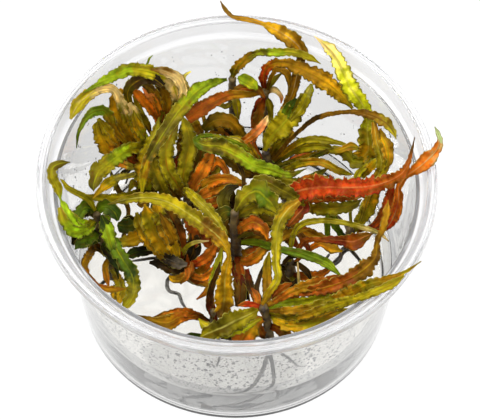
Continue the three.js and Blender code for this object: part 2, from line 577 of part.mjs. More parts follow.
// Front left plantlet with the golden ribbon that arches across the cup
addPlantlet('front_left', {
  stem: [[-6, -24, 12, 1.3], [-6, -24, 18, 1.4], [-6.5, -24.5, 26, 0.9]],
  roots: [
    [[-6, -24, 13, 0.7], [-10, -28, 11, 0.5], [-15, -30, 12, 0.3]],
    [[-6, -24, 13, 0.7], [-4, -29, 10, 0.5], [-5, -34, 9, 0.3]],
  ],
  young: {
    dark_ribbon: [0.3, [[-6.3, -24.2, 22, 1.5], [-7.5, -23, 27, 2.1], [-7, -20.5, 32, 1.8],
      [-5.5, -18, 36, 1.5],
      [-4.5, -15.5, 39, 0.4]]],
  },
  leaves: {
    front_tip: ['#9b5a17', 0.3, [
      [-7.9, -24.7, 20, 0.9], [-12, -26, 24, 1.2], [-16, -27.5, 27, 3.6], [-20, -31, 29, 4.4],
      [-25, -31, 30.5, 2.1], [-29.5, -30, 32, 0.3],
    ]],
    golden_ribbon: ['#b08a16', 0.8, [
      [-4.5, -25, 22.5, 0.9], [-3.5, -25.5, 28.5, 4.2], [-3, -24, 33.5, 5.3], [-3, -22, 38, 4.4],
      [-2.5, -20, 43, 2.7], [-2, -18, 48, 1.2], [-4.5, -15, 51, 4.1], [-9, -11.5, 52.5, 4.4],
      [-14, -8, 53.5, 4.1], [-20, -4.5, 54, 3.8], [-26, -3, 54, 2.9], [-32, -3, 53, 2.4],
      [-38, -4, 51.5, 0.3],
    ]],
  },
});

// Left plantlet, a leaning stem by the left wall with a hooked leaf that reaches the rim
addPlantlet('left', {
  stem: [[-37.5, -6, 12, 1.3], [-37.5, -6, 18, 1.5], [-38, -5.5, 26, 1.2], [-40.5, -5.5, 36, 1.0],
    [-41.5, -2.5, 45, 1.2]],
  roots: [
    [[-37.5, -6, 13, 0.7], [-41, -9, 12, 0.5], [-42, -13, 13, 0.3]],
    [[-37.5, -6, 14, 0.7], [-34, -11, 12, 0.5], [-30, -13, 12.5, 0.3]],
  ],
  young: {
    left_dark: [0.8, [[-41, -3.2, 42.5, 1.5], [-43.5, -2.5, 45, 2.7], [-45.5, -5, 47.5, 2.4],
      [-46, -8.5, 49, 0.4]]],
    left_lobes: [0.8, [[-40.5, -6, 35, 1.5], [-43, -10, 40, 1.8], [-44.5, -14, 46, 2.7],
      [-46, -17.5, 50.5, 2.9],
      [-47, -20.5, 52.5, 0.4]]],
    red_stem: [0.2, [[-38, -5.7, 24.5, 1.2], [-39, -10.5, 27, 1.8], [-38.5, -14.5, 27.5, 1.8],
      [-37.5, -18.5, 27.5, 0.4]]],
    low_yellow: [0.6, [[-37.5, -6.5, 19.5, 1.5], [-35.5, -11.5, 23, 1.5], [-34.5, -16, 26, 3.0],
      [-35.5, -20.5, 28, 2.7], [-36.5, -24.5, 29, 0.4]]],
    low_dark: [0.3, [[-38, -5.7, 23.5, 1.2], [-36, -8.5, 25, 1.8], [-35, -13.5, 25, 0.4]]],
    brown_blade: [0.2, [[-37.5, -5, 18.5, 1.2], [-34.5, 3.5, 19.5, 1.2], [-33, 13.5, 20, 1.2],
      [-35, 18, 21.5, 1.8],
      [-37.5, 21.5, 24, 1.5], [-39, 25.5, 26, 0.4]]],
  },
  leaves: {
    left_hook: ['#7f8f1a', 0.7, [
      [-42, -4.7, 43, 0.9], [-44, -10, 48, 1.5], [-46.5, -13.5, 53.5, 2.9], [-48.5, -12.5, 56.5, 3.2],
      [-50.5, -8.5, 57.5, 1.8], [-51.5, -7, 58.5, 0.6], [-52.5, -4, 60.5, 2.6], [-54, -2, 63, 2.6],
      [-54, 1, 63, 2.6], [-52, 2.5, 63, 2.1], [-49, 3.5, 62.5, 0.3],
    ]],
    left_thin: ['#85861e', 0.2, [
      [-41.9, -2.5, 45.6, 0.9], [-43.5, -2, 50.5, 1.8], [-46, -2, 53.5, 1.8], [-49.5, -1.5, 56, 1.5],
      [-51, 0, 57, 0.9], [-52, 1, 57, 0.3],
    ]],
    left_crisp: ['#6e8a17', 1.0, [
      [-40, -3.6, 45, 0.9], [-38.5, -6.5, 43.5, 3.3], [-36.5, -10.5, 41, 3.6], [-33.5, -15.5, 39.5, 3.9],
      [-30.5, -20.5, 38.5, 4.1], [-30, -25, 37.5, 3.5], [-31.5, -29, 37, 3.2], [-33.5, -31, 36.5, 0.3],
    ]],
    brown_loop: ['#85601a', 0.7, [
      [-40.3, -6.2, 28.5, 0.9], [-42.5, -8, 33, 1.8], [-43.5, -14, 39, 2.4], [-44.5, -19.5, 42, 2.1],
      [-43, -24, 43, 1.8], [-40, -27, 43, 1.5], [-36, -27.5, 42, 1.8], [-31.5, -26.5, 41, 0.3],
    ]],
  },
});

// Left front plantlet, a dark root clump with short leaves
addPlantlet('left_front', {
  stem: [[-17.5, -4.5, 12, 1.8], [-17.5, -4.5, 18, 2.3], [-17.8, -4.3, 22.6, 1.1]],
  roots: [
    [[-17.5, -4.5, 14, 0.8], [-23, 0, 14, 0.6], [-28, -0.5, 14.5, 0.5], [-32, -1.5, 15, 0.3]],
    [[-17.5, -4.5, 14, 0.8], [-20.5, -7.5, 14, 0.6], [-20, -11, 13.5, 0.6], [-17, -12, 13, 0.6],
      [-16, -14.5, 12, 0.5], [-14, -17, 11, 0.3]],
    [[-17.5, -4.5, 13, 0.8], [-12, -1, 11, 0.5], [-8, 3, 11.5, 0.3]],
  ],
  young: {
    brown_dark: [0.5, [[-16.6, -5.2, 19.8, 1.8], [-13.5, -4.8, 24, 3.3], [-12.5, -2.5, 28, 4.2],
      [-13.5, 1.5, 33, 0.9]]],
    red_small: [0.5, [[-17, -5.5, 19, 1.5], [-14.5, -6.5, 22, 2.1], [-14.5, -5.5, 26.5, 0.4]]],
    brown_fork: [0.6, [[-16.5, -6, 18.8, 1.8], [-11.5, -8, 20.5, 2.4], [-9, -7, 24, 3.6],
      [-7, -5.5, 28, 2.7],
      [-6, -3.5, 30, 0.4]]],
    thin_arc: [0.1, [[-17.2, -4.6, 20, 1.1], [-15.5, -3.5, 26, 1.2], [-12.5, -4, 31, 1.2],
      [-8, -4.5, 33, 0.4]]],
    brown_cluster: [0.6, [[-17.7, -4.3, 20.8, 1.2], [-18.5, -2.5, 29.5, 3.0], [-20.5, -1, 35, 3.3],
      [-23, 1.5, 39, 0.6]]],
    dark_green_low: [0.4, [[-18.5, -4, 20, 1.5], [-24, -1, 20.5, 1.8], [-28, -1, 21, 3.0],
      [-31, -2, 21, 3.0],
      [-34, -3.5, 21, 0.4]]],
  },
  leaves: {
    olive_cluster: ['#8c7a18', 0.8, [
      [-19.6, -4, 22, 0.9], [-22, -2.5, 26, 4.8], [-24.5, 0, 31, 5.7], [-26.5, 2.5, 36, 4.2],
      [-27.5, 4, 39.5, 0.6],
    ]],
  },
});

// Centre left plantlet, a fan of broad orange and brown leaves
addPlantlet('centre_left', {
  stem: [[-15, 15.5, 12, 1.6], [-15, 15.5, 18, 2.0], [-15, 15.5, 25, 1.4]],
  roots: [
    [[-15, 15.5, 13, 0.7], [-10, 12, 10.5, 0.5], [-6, 8, 11, 0.3]],
    [[-15, 15.5, 13, 0.7], [-19, 12, 11, 0.5], [-24, 11, 12, 0.3]],
  ],
  young: {
    olive_spine: [0.5, [[-15, 16, 23, 1.2], [-16.5, 21.5, 26, 1.2], [-17, 27, 29, 2.7],
      [-16.5, 30.5, 33, 4.0],
      [-16, 33.5, 37, 3.3], [-16, 35.5, 39, 0.4]]],
    back_orange: [0.4, [[-14.3, 16.3, 23, 0.9], [-11.5, 25.5, 25.5, 0.9], [-9.5, 33.5, 30, 0.9],
      [-11, 39, 37, 1.2],
      [-14, 40.5, 43, 1.8], [-16, 40.5, 48, 2.7], [-17, 41.5, 51, 2.1], [-16, 42, 53, 0.9],
      [-14.5, 42.5, 54, 0.4]]],
  },
  leaves: {
    orange_pair_upper: ['#a25a18', 0.4, [
      [-14.5, 15.8, 25.6, 0.9], [-13, 17.5, 30, 3.6], [-10.5, 20, 33.5, 4.2], [-8.5, 23, 36, 3.6],
      [-7, 25.5, 38, 0.6],
    ]],
    orange_pair_lower: ['#ad6a17', 0.4, [
      [-12.7, 14.7, 24, 1.2], [-10, 14.5, 29, 3.3], [-5.5, 15.5, 32, 3.6], [-1.5, 15.5, 35, 2.4],
      [3, 13.5, 35, 0.6],
    ]],
    orange_left: ['#9c6a16', 0.7, [
      [-16.5, 13.4, 19.5, 1.2], [-19.5, 7.5, 22, 1.5], [-23.5, 4, 24, 2.4], [-29, 1, 26, 4.2],
      [-33.5, -1.5, 27, 3.6], [-36, -0.5, 27, 0.3],
    ]],
    olive_midrib: ['#8a7b18', 0.6, [
      [-16.7, 15.5, 25.5, 0.9], [-18, 16, 32, 3.6], [-21, 18.5, 37, 4.2], [-21.5, 22.5, 41, 4.2],
      [-20, 27, 43, 3.6], [-18, 31, 43.5, 0.6],
    ]],
    rough_brown: ['#6a4513', 0.8, [
      [-17.2, 15, 22.3, 0.9], [-19.5, 16.5, 26, 3.7], [-23, 19, 30, 4.6], [-24.5, 22.5, 32.5, 2.7],
      [-25, 25.5, 33.5, 0.3],
    ]],
  },
});

// Left back plantlet, the tallest bunch, with two arches that reach the far left of the rim
addPlantlet('left_back', {
  stem: [[-27, 29.5, 12, 1.6], [-27, 29.5, 18, 2.2], [-27, 29.7, 24, 1.9], [-26.5, 29.5, 31, 1.2]],
  roots: [
    [[-27, 29.5, 13, 0.8], [-30.5, 32.5, 11.5, 0.5], [-33.5, 32, 10.5, 0.4], [-34.5, 28.5, 11, 0.3]],
    [[-27, 29.5, 13, 0.8], [-22, 26, 10.5, 0.5], [-18, 24, 9, 0.3]],
  ],
  young: {
    dark_green_mid: [0.4, [[-26, 28, 18.7, 1.2], [-25, 20.5, 18.7, 1.2], [-26.5, 12.5, 20, 1.5],
      [-30, 7.5, 22, 3.0],
      [-33, 7.5, 23, 4.3], [-36, 6.5, 23, 0.6]]],
    brown_broad: [0.5, [[-27.5, 29.5, 23.5, 1.5], [-31, 30, 28.5, 2.5], [-34, 30.5, 34, 3.7],
      [-36.5, 32, 40.5, 3.2],
      [-36, 34, 45, 2.8], [-35, 36, 48, 0.4]]],
    olive_yellow: [0.6, [[-27, 29.5, 30.5, 1.2], [-28, 29.5, 35.5, 2.0], [-30, 30, 41.5, 3.4],
      [-31, 30.3, 46, 2.4],
      [-31.5, 31, 49.5, 0.4]]],
    orange_inner: [0.4, [[-26.3, 29.8, 28.5, 1.2], [-24.5, 33.5, 31, 1.2], [-24.5, 36, 37, 1.8],
      [-26.5, 37, 42, 3.0],
      [-29, 37, 46.5, 3.0], [-32, 37.5, 51.5, 1.8], [-33.5, 38, 54, 0.4]]],
    brown_inner: [0.4, [[-26, 29.5, 24, 1.2], [-21.5, 35.5, 27, 1.2], [-19.5, 39, 33, 1.5],
      [-21, 40.5, 40, 3.4],
      [-23.5, 41.5, 46, 2.7], [-26.5, 42, 50, 0.4]]],
    yellow_under: [0.4, [[-28, 29, 18.8, 1.2], [-32, 25.5, 22, 1.5], [-36, 19.5, 30, 2.1],
      [-39, 12.5, 37, 3.0],
      [-41.5, 7.5, 40, 1.5], [-43, 5, 40.5, 0.4]]],
    olive_arc: [0.2, [[-28, 29, 18.6, 1.2], [-31.5, 29.5, 20, 1.2], [-34.5, 25.5, 24, 1.2],
      [-36.5, 21, 26, 1.2],
      [-37.5, 17, 26, 0.4]]],
  },
  leaves: {
    green_arch: ['#9aa01c', 0.6, [
      [-24.5, 29.7, 30, 0.9], [-22, 32, 33.5, 1.8], [-19.5, 34.5, 39.5, 3.0], [-18.5, 37, 46, 3.3],
      [-20.5, 39, 53, 4.2], [-26.5, 39.5, 57.5, 3.9], [-33, 38.5, 60, 3.6], [-38.5, 34, 62, 3.0],
      [-43, 29.5, 64, 1.2], [-46, 26.5, 65, 0.3],
    ]],
    pale_arch: ['#b0a055', 0.4, [
      [-28.7, 30.4, 30.3, 0.9], [-30.8, 32, 34, 1.8], [-33, 31.4, 41.3, 2.5], [-35, 32, 50.5, 3.0],
      [-37.5, 33, 57.3, 2.4], [-41.5, 31.3, 60, 2.7], [-45, 27, 62.5, 3.3], [-48, 22.5, 63, 3.6],
      [-49.5, 18, 63.5, 0.9],
    ]],
    dark_tip: ['#5e5a14', 0.7, [
      [-28.8, 28.3, 28, 0.9], [-33, 27.5, 35, 1.2], [-37, 28.5, 42.5, 1.8], [-39, 29, 49, 3.0],
      [-41, 28.5, 53, 3.0], [-44, 25.5, 55.5, 2.4], [-46, 22, 56, 1.5], [-47.5, 18.5, 55, 0.9],
      [-48, 16, 51, 0.3],
    ]],
    serrated_brown: ['#83691a', 1.0, [
      [-29.6, 28.6, 22, 0.9], [-33, 25.5, 27, 2.1], [-37, 24, 34, 3.9], [-40, 24.5, 41, 4.8],
      [-42, 26.5, 46, 3.6], [-42, 28.5, 47.5, 0.6],
    ]],
    green_slant: ['#989c1c', 0.7, [
      [-27.2, 27.2, 28.5, 0.9], [-28.8, 27.3, 33.5, 2.1], [-31, 25.5, 37.5, 3.4], [-33.5, 21.5, 42, 3.6],
      [-37, 15.5, 46, 4.2], [-41, 10, 48, 4.8], [-42.5, 5, 48.5, 3.0], [-42.5, 3, 47.5, 0.3],
    ]],
    olive_broad: ['#85801a', 0.6, [
      [-27.5, 26.4, 18.6, 0.9], [-28, 20, 22, 3.1], [-28.5, 18.5, 29.5, 4.9], [-28, 20.5, 36, 5.1],
      [-26, 24, 41, 4.5], [-24.5, 28.5, 43, 2.7], [-24, 32.5, 44, 0.3],
    ]],
  },
});

// The gel is last, because every stem and root leaves an open pocket in it.
let gel = solidFrom(gelGeometry());
for (const cutter of pocketCutters) {
  gel = gel.subtract(cutter);
}
addBody('gel', geometryFrom(gel), COLOURS.gel);

export default specimen;
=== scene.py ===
import math

import bpy
import numpy as np
from mathutils import Matrix, Vector


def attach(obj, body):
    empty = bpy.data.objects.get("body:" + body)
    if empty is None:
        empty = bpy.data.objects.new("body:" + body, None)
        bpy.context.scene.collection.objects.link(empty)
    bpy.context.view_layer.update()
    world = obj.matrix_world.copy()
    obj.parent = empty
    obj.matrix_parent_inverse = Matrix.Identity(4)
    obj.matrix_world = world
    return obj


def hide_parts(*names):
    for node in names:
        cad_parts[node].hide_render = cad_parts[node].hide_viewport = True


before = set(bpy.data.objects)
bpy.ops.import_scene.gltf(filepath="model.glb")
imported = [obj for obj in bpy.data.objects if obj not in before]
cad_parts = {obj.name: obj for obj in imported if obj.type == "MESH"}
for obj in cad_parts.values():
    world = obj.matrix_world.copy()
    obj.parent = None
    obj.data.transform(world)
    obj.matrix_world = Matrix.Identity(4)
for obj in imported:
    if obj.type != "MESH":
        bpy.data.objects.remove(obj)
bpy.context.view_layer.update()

# Camera: a long lens 1.06 m away, 57.6 degrees above the table and turned by one degree, so the
# rim is the same ellipse as in the photograph. The picture is 480 by 420.
VIEW_ELEVATION = math.radians(57.59)
VIEW_ROLL = math.radians(1.06)
VIEW_DISTANCE = 1.062
VIEW_LENS = 258.3
VIEW_RIGHT_OF_CENTRE = 0.00109
VIEW_ABOVE_CENTRE = 0.02329
back_way = Vector((0, -math.cos(VIEW_ELEVATION), math.sin(VIEW_ELEVATION)))
level_right = Vector((1, 0, 0))
level_up = back_way.cross(level_right)
camera_right = level_right * math.cos(VIEW_ROLL) + level_up * math.sin(VIEW_ROLL)
camera_up = level_up * math.cos(VIEW_ROLL) - level_right * math.sin(VIEW_ROLL)
looked_at = level_right * VIEW_RIGHT_OF_CENTRE + level_up * VIEW_ABOVE_CENTRE
camera_data = bpy.data.cameras.new("studio_camera")
camera_data.lens = VIEW_LENS
camera_data.sensor_width = 36
camera_data.clip_start = 0.1
camera_data.clip_end = 10
camera = bpy.data.objects.new("studio_camera", camera_data)
bpy.context.collection.objects.link(camera)
camera.matrix_world = Matrix.Translation(looked_at + back_way * VIEW_DISTANCE) @ Matrix(
    (camera_right, camera_up, back_way)
).transposed().to_4x4()
bpy.context.scene.camera = camera

# Studio: a wide white table under a white tent. The tent is brightest overhead and greyer near the
# horizon, which draws the soft dark lines along the edges of the clear plastic.
TABLE_WIDTH = 6.0
TABLE_BELOW_CUP = 0.0003
table_mesh = bpy.data.meshes.new("table_top")
table_mesh.from_pydata(
    [(x * TABLE_WIDTH / 2, y * TABLE_WIDTH / 2, 0) for x, y in ((-1, -1), (1, -1), (1, 1), (-1, 1))],
    [],
    [(0, 1, 2, 3)],
)
table_top = bpy.data.objects.new("table_top", table_mesh)
table_top.location = (0, 0, -TABLE_BELOW_CUP)
bpy.context.collection.objects.link(table_top)
white_table = bpy.data.materials.new("white_table")
white_table.use_nodes = True
table_shader = white_table.node_tree.nodes["Principled BSDF"]
table_shader.inputs["Base Color"].default_value = (0.05, 0.05, 0.05, 1)
table_shader.inputs["Roughness"].default_value = 0.9
table_shader.inputs["Specular IOR Level"].default_value = 0.1
table_shader.inputs["Emission Color"].default_value = (1, 1, 1, 1)
table_shader.inputs["Emission Strength"].default_value = 0.97
table_mesh.materials.append(white_table)

tent = bpy.data.worlds.new("white_tent")
bpy.context.scene.world = tent
tent.use_nodes = True
tent_nodes, tent_links = tent.node_tree.nodes, tent.node_tree.links
way = tent_nodes.new("ShaderNodeTexCoord")
way_parts = tent_nodes.new("ShaderNodeSeparateXYZ")
tent_links.new(way.outputs["Generated"], way_parts.inputs[0])
tent_ramp = tent_nodes.new("ShaderNodeValToRGB")
tent_ramp.color_ramp.elements[0].position = 0.0
tent_ramp.color_ramp.elements[0].color = (0.60, 0.60, 0.61, 1)
tent_ramp.color_ramp.elements[1].position = 0.55
tent_ramp.color_ramp.elements[1].color = (0.95, 0.95, 0.96, 1)
tent_links.new(way_parts.outputs["Z"], tent_ramp.inputs[0])
tent_links.new(tent_ramp.outputs[0], tent_nodes["Background"].inputs["Color"])
tent_nodes["Background"].inputs["Strength"].default_value = 1.4

LIT_POINT = Vector((0, 0, 0.03))
for lamp_name, place, width, power in (
    ("soft_box_left", (-0.45, 0.25, 0.8), 0.35, 7.0),
    ("soft_box_right", (0.6, 0.1, 0.7), 0.5, 2.0),
):
    lamp_data = bpy.data.lights.new(lamp_name, "AREA")
    lamp_data.size = width
    lamp_data.energy = power
    lamp = bpy.data.objects.new(lamp_name, lamp_data)
    lamp.location = place
    lamp.rotation_mode = "QUATERNION"
    lamp.rotation_quaternion = (LIT_POINT - Vector(place)).to_track_quat("-Z", "Y")
    bpy.context.collection.objects.link(lamp)
bpy.context.scene.view_settings.view_transform = "Standard"

# Cup: one thin-walled polypropylene moulding, 118 mm across its rolled rim, with a ledge for the
# lid inside the mouth and softly rounded corners, as it comes out of the mould.
MM = 0.001
CUP_TURN = 240
FLOOR_TOP = 1.2
FLOOR_INSIDE = 46.0
WALL_FLARE = 0.1225
ON_AXIS = 1e-6


def inside_radius(height):
    """Inner radius of the cup's wall in mm at a height in mm: it grows from the radius at the floor
    by the flare for every mm above the floor's top."""
    return FLOOR_INSIDE + WALL_FLARE * (height - FLOOR_TOP)


def rounded_outline(corners, radius=0.5, pieces=3):
    """The corners of a closed outline, each replaced by a short quadratic curve that starts and
    ends at most radius from it: p(t) = (1-t)^2 a + 2 t (1-t) corner + t^2 b."""
    outline = np.array(corners, float)
    result = []
    for index, corner in enumerate(outline):
        if corner[0] < ON_AXIS:
            result.append(corner[None, :])
            continue
        before, after = outline[index - 1] - corner, outline[(index + 1) % len(outline)] - corner
        reach = min(radius, 0.45 * np.linalg.norm(before), 0.45 * np.linalg.norm(after))
        start = corner + before / np.linalg.norm(before) * reach
        end = corner + after / np.linalg.norm(after) * reach
        t = np.linspace(0, 1, pieces + 1)[:, None]
        result.append((1 - t) ** 2 * start + 2 * t * (1 - t) * corner + t**2 * end)
    return np.vstack(result)


def listed(groups, start=0):
    """The faces of several arrays, each of faces with the same number of corners, as one list, with
    start added to the number of every corner."""
    return [face for group in groups for face in (group + start).tolist()]


def piece_from(name, points, faces, finishes, point_uv=None, finish_of_face=None):
    """One smooth object at the origin from an array of points in mm and a list of faces. point_uv
    gives each point its place on the piece's own map, finish_of_face each face its finish."""
    mesh = bpy.data.meshes.new(name)
    mesh.from_pydata((points * MM).tolist(), [], faces)
    mesh.polygons.foreach_set("use_smooth", np.full(len(mesh.polygons), True))
    for finish in finishes:
        mesh.materials.append(finish)
    if finish_of_face is not None:
        mesh.polygons.foreach_set("material_index", np.asarray(finish_of_face, np.int32))
    if point_uv is not None:
        corner_points = np.zeros(len(mesh.loops), np.int32)
        mesh.loops.foreach_get("vertex_index", corner_points)
        layer = mesh.uv_layers.new(name="along_the_piece")
        layer.data.foreach_set("uv", point_uv[corner_points].astype(np.float32).ravel())
    mesh.update()
    piece = bpy.data.objects.new(name, mesh)
    bpy.context.collection.objects.link(piece)
    return piece


def turned(name, corners, turns, finishes, waves=None):
    """A closed outline of (radius, height) turned once round Z: x = r cos a, y = r sin a. Points on
    the axis are merged into one. waves(radius, angle, height) may return a change of height."""
    outline = np.array(corners, float)
    angle = np.linspace(0, 2 * np.pi, turns, endpoint=False)
    radius, height = np.repeat(outline[:, :1], turns, 1), np.repeat(outline[:, 1:], turns, 1)
    around = np.repeat(angle[None, :], len(outline), 0)
    if waves is not None:
        height = height + waves(radius, around, height)
    points = np.stack([radius * np.cos(around), radius * np.sin(around), height], -1).reshape(-1, 3)
    row = np.arange(len(outline))
    a = (row[:, None] * turns + np.arange(turns)[None, :]).ravel()
    b = (row[:, None] * turns + (np.arange(turns)[None, :] + 1) % turns).ravel()
    c = np.roll(b.reshape(len(outline), turns), -1, 0).ravel()
    d = np.roll(a.reshape(len(outline), turns), -1, 0).ravel()
    faces = np.stack([a, b, c, d], -1)
    on_axis = outline[:, 0] < ON_AXIS
    lower, upper = np.repeat(on_axis, turns), np.repeat(np.roll(on_axis, -1), turns)
    first = np.repeat(row * turns, turns)
    after = np.repeat(np.roll(row, -1) * turns, turns)
    quads = faces[~lower & ~upper]
    fans = np.stack([first, c, d], -1)[lower & ~upper]
    caps = np.stack([a, b, after], -1)[upper & ~lower]
    used = np.ones(len(points), bool)
    used.reshape(len(outline), turns)[on_axis, 1:] = False
    place_of = np.cumsum(used) - 1
    faces = listed([place_of[quads], place_of[fans], place_of[caps]])
    return piece_from(name, points[used], faces, finishes)


def new_finish(name):
    """A material with nodes, its nodes and links, and its shader."""
    finish = bpy.data.materials.new(name)
    finish.use_nodes = True
    nodes, links = finish.node_tree.nodes, finish.node_tree.links
    return finish, nodes, links, nodes["Principled BSDF"]


def noise_of(nodes, links, place, scale, detail):
    """A soft noise read at a place, its scale in clouds to a unit of that place."""
    noise = nodes.new("ShaderNodeTexNoise")
    noise.inputs["Scale"].default_value = scale
    noise.inputs["Detail"].default_value = detail
    links.new(place, noise.inputs["Vector"])
    return noise.outputs["Fac"]


def clear_finish(name, tint, roughness, index, bumps=None, haze=0.0):
    """A see-through plastic, gel or water: transmission with one tint, roughness and index. bumps is
    (scale per metre, depth in metres) of a soft unevenness of its surface, and haze the share of
    light that the piece scatters."""
    finish, nodes, links, shader = new_finish(name)
    shader.inputs["Base Color"].default_value = (*tint, 1)
    shader.inputs["Roughness"].default_value = roughness
    shader.inputs["IOR"].default_value = index
    shader.inputs["Transmission Weight"].default_value = 1.0 - haze
    if bumps is not None:
        place = nodes.new("ShaderNodeTexCoord").outputs["Object"]
        relief = nodes.new("ShaderNodeBump")
        relief.inputs["Strength"].default_value = 1.0
        relief.inputs["Distance"].default_value = bumps[1]
        links.new(noise_of(nodes, links, place, bumps[0], 2.0), relief.inputs["Height"])
        links.new(relief.outputs["Normal"], shader.inputs["Normal"])
    return finish


def mist_over(finish, centre, half_sizes, misted):
    """A misted patch on a clear finish, in metres: where |(point - centre) / half sizes| + ragged
    noise is below the start of its edge, the tint is the misted one, and past its end the old."""
    nodes, links = finish.node_tree.nodes, finish.node_tree.links
    shader = nodes["Principled BSDF"]
    place = nodes.new("ShaderNodeTexCoord").outputs["Object"]
    from_centre = nodes.new("ShaderNodeMapping")
    from_centre.vector_type = "TEXTURE"
    from_centre.inputs["Location"].default_value = centre
    from_centre.inputs["Scale"].default_value = half_sizes
    distance = nodes.new("ShaderNodeVectorMath")
    distance.operation = "LENGTH"
    ragged = nodes.new("ShaderNodeMath")
    ragged.operation = "MULTIPLY_ADD"
    ragged.inputs[1].default_value = MIST_RAGGEDNESS
    edge = nodes.new("ShaderNodeMapRange")
    edge.inputs["From Min"].default_value = MIST_EDGE[0]
    edge.inputs["From Max"].default_value = MIST_EDGE[1]
    tints = nodes.new("ShaderNodeMix")
    tints.data_type = "RGBA"
    tints.inputs["A"].default_value = (*misted, 1)
    tints.inputs["B"].default_value = shader.inputs["Base Color"].default_value
    links.new(place, from_centre.inputs["Vector"])
    links.new(from_centre.outputs["Vector"], distance.inputs[0])
    links.new(noise_of(nodes, links, place, MIST_CLOUDS, 3.0), ragged.inputs[0])
    links.new(distance.outputs["Value"], ragged.inputs[2])
    links.new(ragged.outputs[0], edge.inputs["Value"])
    links.new(edge.outputs["Result"], tints.inputs["Factor"])
    links.new(tints.outputs["Result"], shader.inputs["Base Color"])


def face_centres(piece):
    """The centres of a piece's faces, in mm."""
    centres = np.empty(3 * len(piece.data.polygons), np.float32)
    piece.data.polygons.foreach_get("center", centres)
    return centres.reshape(-1, 3) / MM


CUP_OUTLINE = [
    (0, 0), (45.4, 0), (46.4, 0), (47, 0.6), (47.17, 2), (53.71, 55), (53.87, 56.3), (55.87, 56.3),
    (57.1, 60.3), (58, 60.3), (58, 57.7), (59, 57.7), (59, 60.7), (58.4, 61.3), (56.1, 61.3),
    (54.87, 57.3), (52.87, 57.3), (52.72, 56), (46.72, 4), (46.6, 3), (45.4, FLOOR_TOP),
    (44.4, FLOOR_TOP), (0, FLOOR_TOP),
]
RIM_FROM = 56.2
CORNER_UP_TO = 3.0
FLOOR_OUT_TO = 44.4
PLASTIC_INDEX = 1.46
MIST_TINT = (0.64, 0.64, 0.635)
MIST_CENTRE = (-0.003, -0.051, 0.034)
MIST_HALF_SIZES = (0.026, 0.03, 0.02)
MIST_CLOUDS = 170.0
MIST_RAGGEDNESS = 0.5
MIST_EDGE = (1.14, 1.26)

# The cup's four finishes are one plastic, tinted apart as painted light and shade. The wall, seen at
# a slant, takes the deepest tint, partly painted shade, and is misted low on the front. The corner
# below it, darkened against the floor as painted shade, and the rim, a little hazy where the moulding
# is thick, take less, and the floor hardly any, a painted light on the bed seen through it. The
# outline's points close to its bends keep wall and floor flat.
shaded_wall_plastic = clear_finish(
    "clear_polypropylene", (0.82, 0.82, 0.815), 0.03, PLASTIC_INDEX, (110.0, 0.00007), 0.02
)
mist_over(shaded_wall_plastic, MIST_CENTRE, MIST_HALF_SIZES, MIST_TINT)
lightened_floor_plastic = clear_finish("clear_polypropylene_floor", (0.985, 0.985, 0.98), 0.05, PLASTIC_INDEX)
rim_plastic = clear_finish(
    "clear_polypropylene_rim", (0.87, 0.87, 0.875), 0.14, PLASTIC_INDEX, haze=0.17
)
shaded_corner_plastic = clear_finish("clear_polypropylene_corner", (0.86, 0.86, 0.855), 0.03, PLASTIC_INDEX)
cup = turned(
    "clear_cup",
    rounded_outline(CUP_OUTLINE),
    CUP_TURN,
    [shaded_wall_plastic, lightened_floor_plastic, rim_plastic, shaded_corner_plastic],
)
centres = face_centres(cup)
on_rim = centres[:, 2] > RIM_FROM
on_floor = np.hypot(centres[:, 0], centres[:, 1]) < FLOOR_OUT_TO
in_corner = (centres[:, 2] < CORNER_UP_TO) & ~on_floor
# Faces take their finishes here: painted shade on the wall and corner, painted light on the floor.
cup.data.polygons.foreach_set("material_index", (on_floor + 2 * on_rim + 3 * in_corner).astype(np.int32))
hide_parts("cup")
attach(cup, "root")

# Gel: a bed of clear agar about 15 mm deep, poured hot into the cup so that it creeps a little way up
# the wall as it sets. The stems stand in it and the roots run through it. Its side and its lip at
# the wall are tinted darker than its top, as in the photo: painted shade, not a colour of the agar.
# All of it dims light with depth a little.
GEL_TURN = 180
GEL_BOTTOM = 1.5
GEL_HEIGHT = 16.5
GEL_SIDE_GAP = 0.35
GEL_LIP_TOP = 17.2
GEL_LIP_INSET = 0.12
GEL_CREEP = 0.7
GEL_CREEP_REACH = 1.1
GEL_SIDE_FROM = 45.2
GEL_LIP_FROM = 16.2
AGAR_INDEX = 1.335
AGAR_DIMMED_TO = (0.4, 0.39, 0.35, 1)
AGAR_DIMMING = 4.0
gel_side = [(inside_radius(z) - GEL_SIDE_GAP, z) for z in (3.3, 8, 12, 16)]
gel_lip = [(inside_radius(GEL_LIP_TOP) - GEL_SIDE_GAP - GEL_LIP_INSET, GEL_LIP_TOP)]
gel_top = [
    (inside_radius(17) - reach, GEL_HEIGHT + GEL_CREEP * math.exp(-reach / GEL_CREEP_REACH))
    for reach in (0.9, 1.4, 2, 3, 5, 9)
]
gel_rings = [(r, GEL_HEIGHT) for r in (34, 26, 18, 10, 4)]


def gel_swell(radius, angle, height):
    """Low swells of the set gel: 0.12 mm waves over its top that die out towards the bottom and, at
    the wall, a creep of 0.25 mm that comes and goes round the cup."""
    over = np.clip((height - 12) / 4.5, 0, 1)
    x, y = radius * np.cos(angle), radius * np.sin(angle)
    swells = 0.07 * np.sin(0.31 * x + 0.9) * np.sin(0.27 * y + 0.4) + 0.05 * np.sin(0.6 * x - 0.5 * y)
    creep = 0.25 * np.clip((radius - 44) / 3, 0, 1) * np.sin(5 * angle + 1.3)
    return over * (swells + creep)


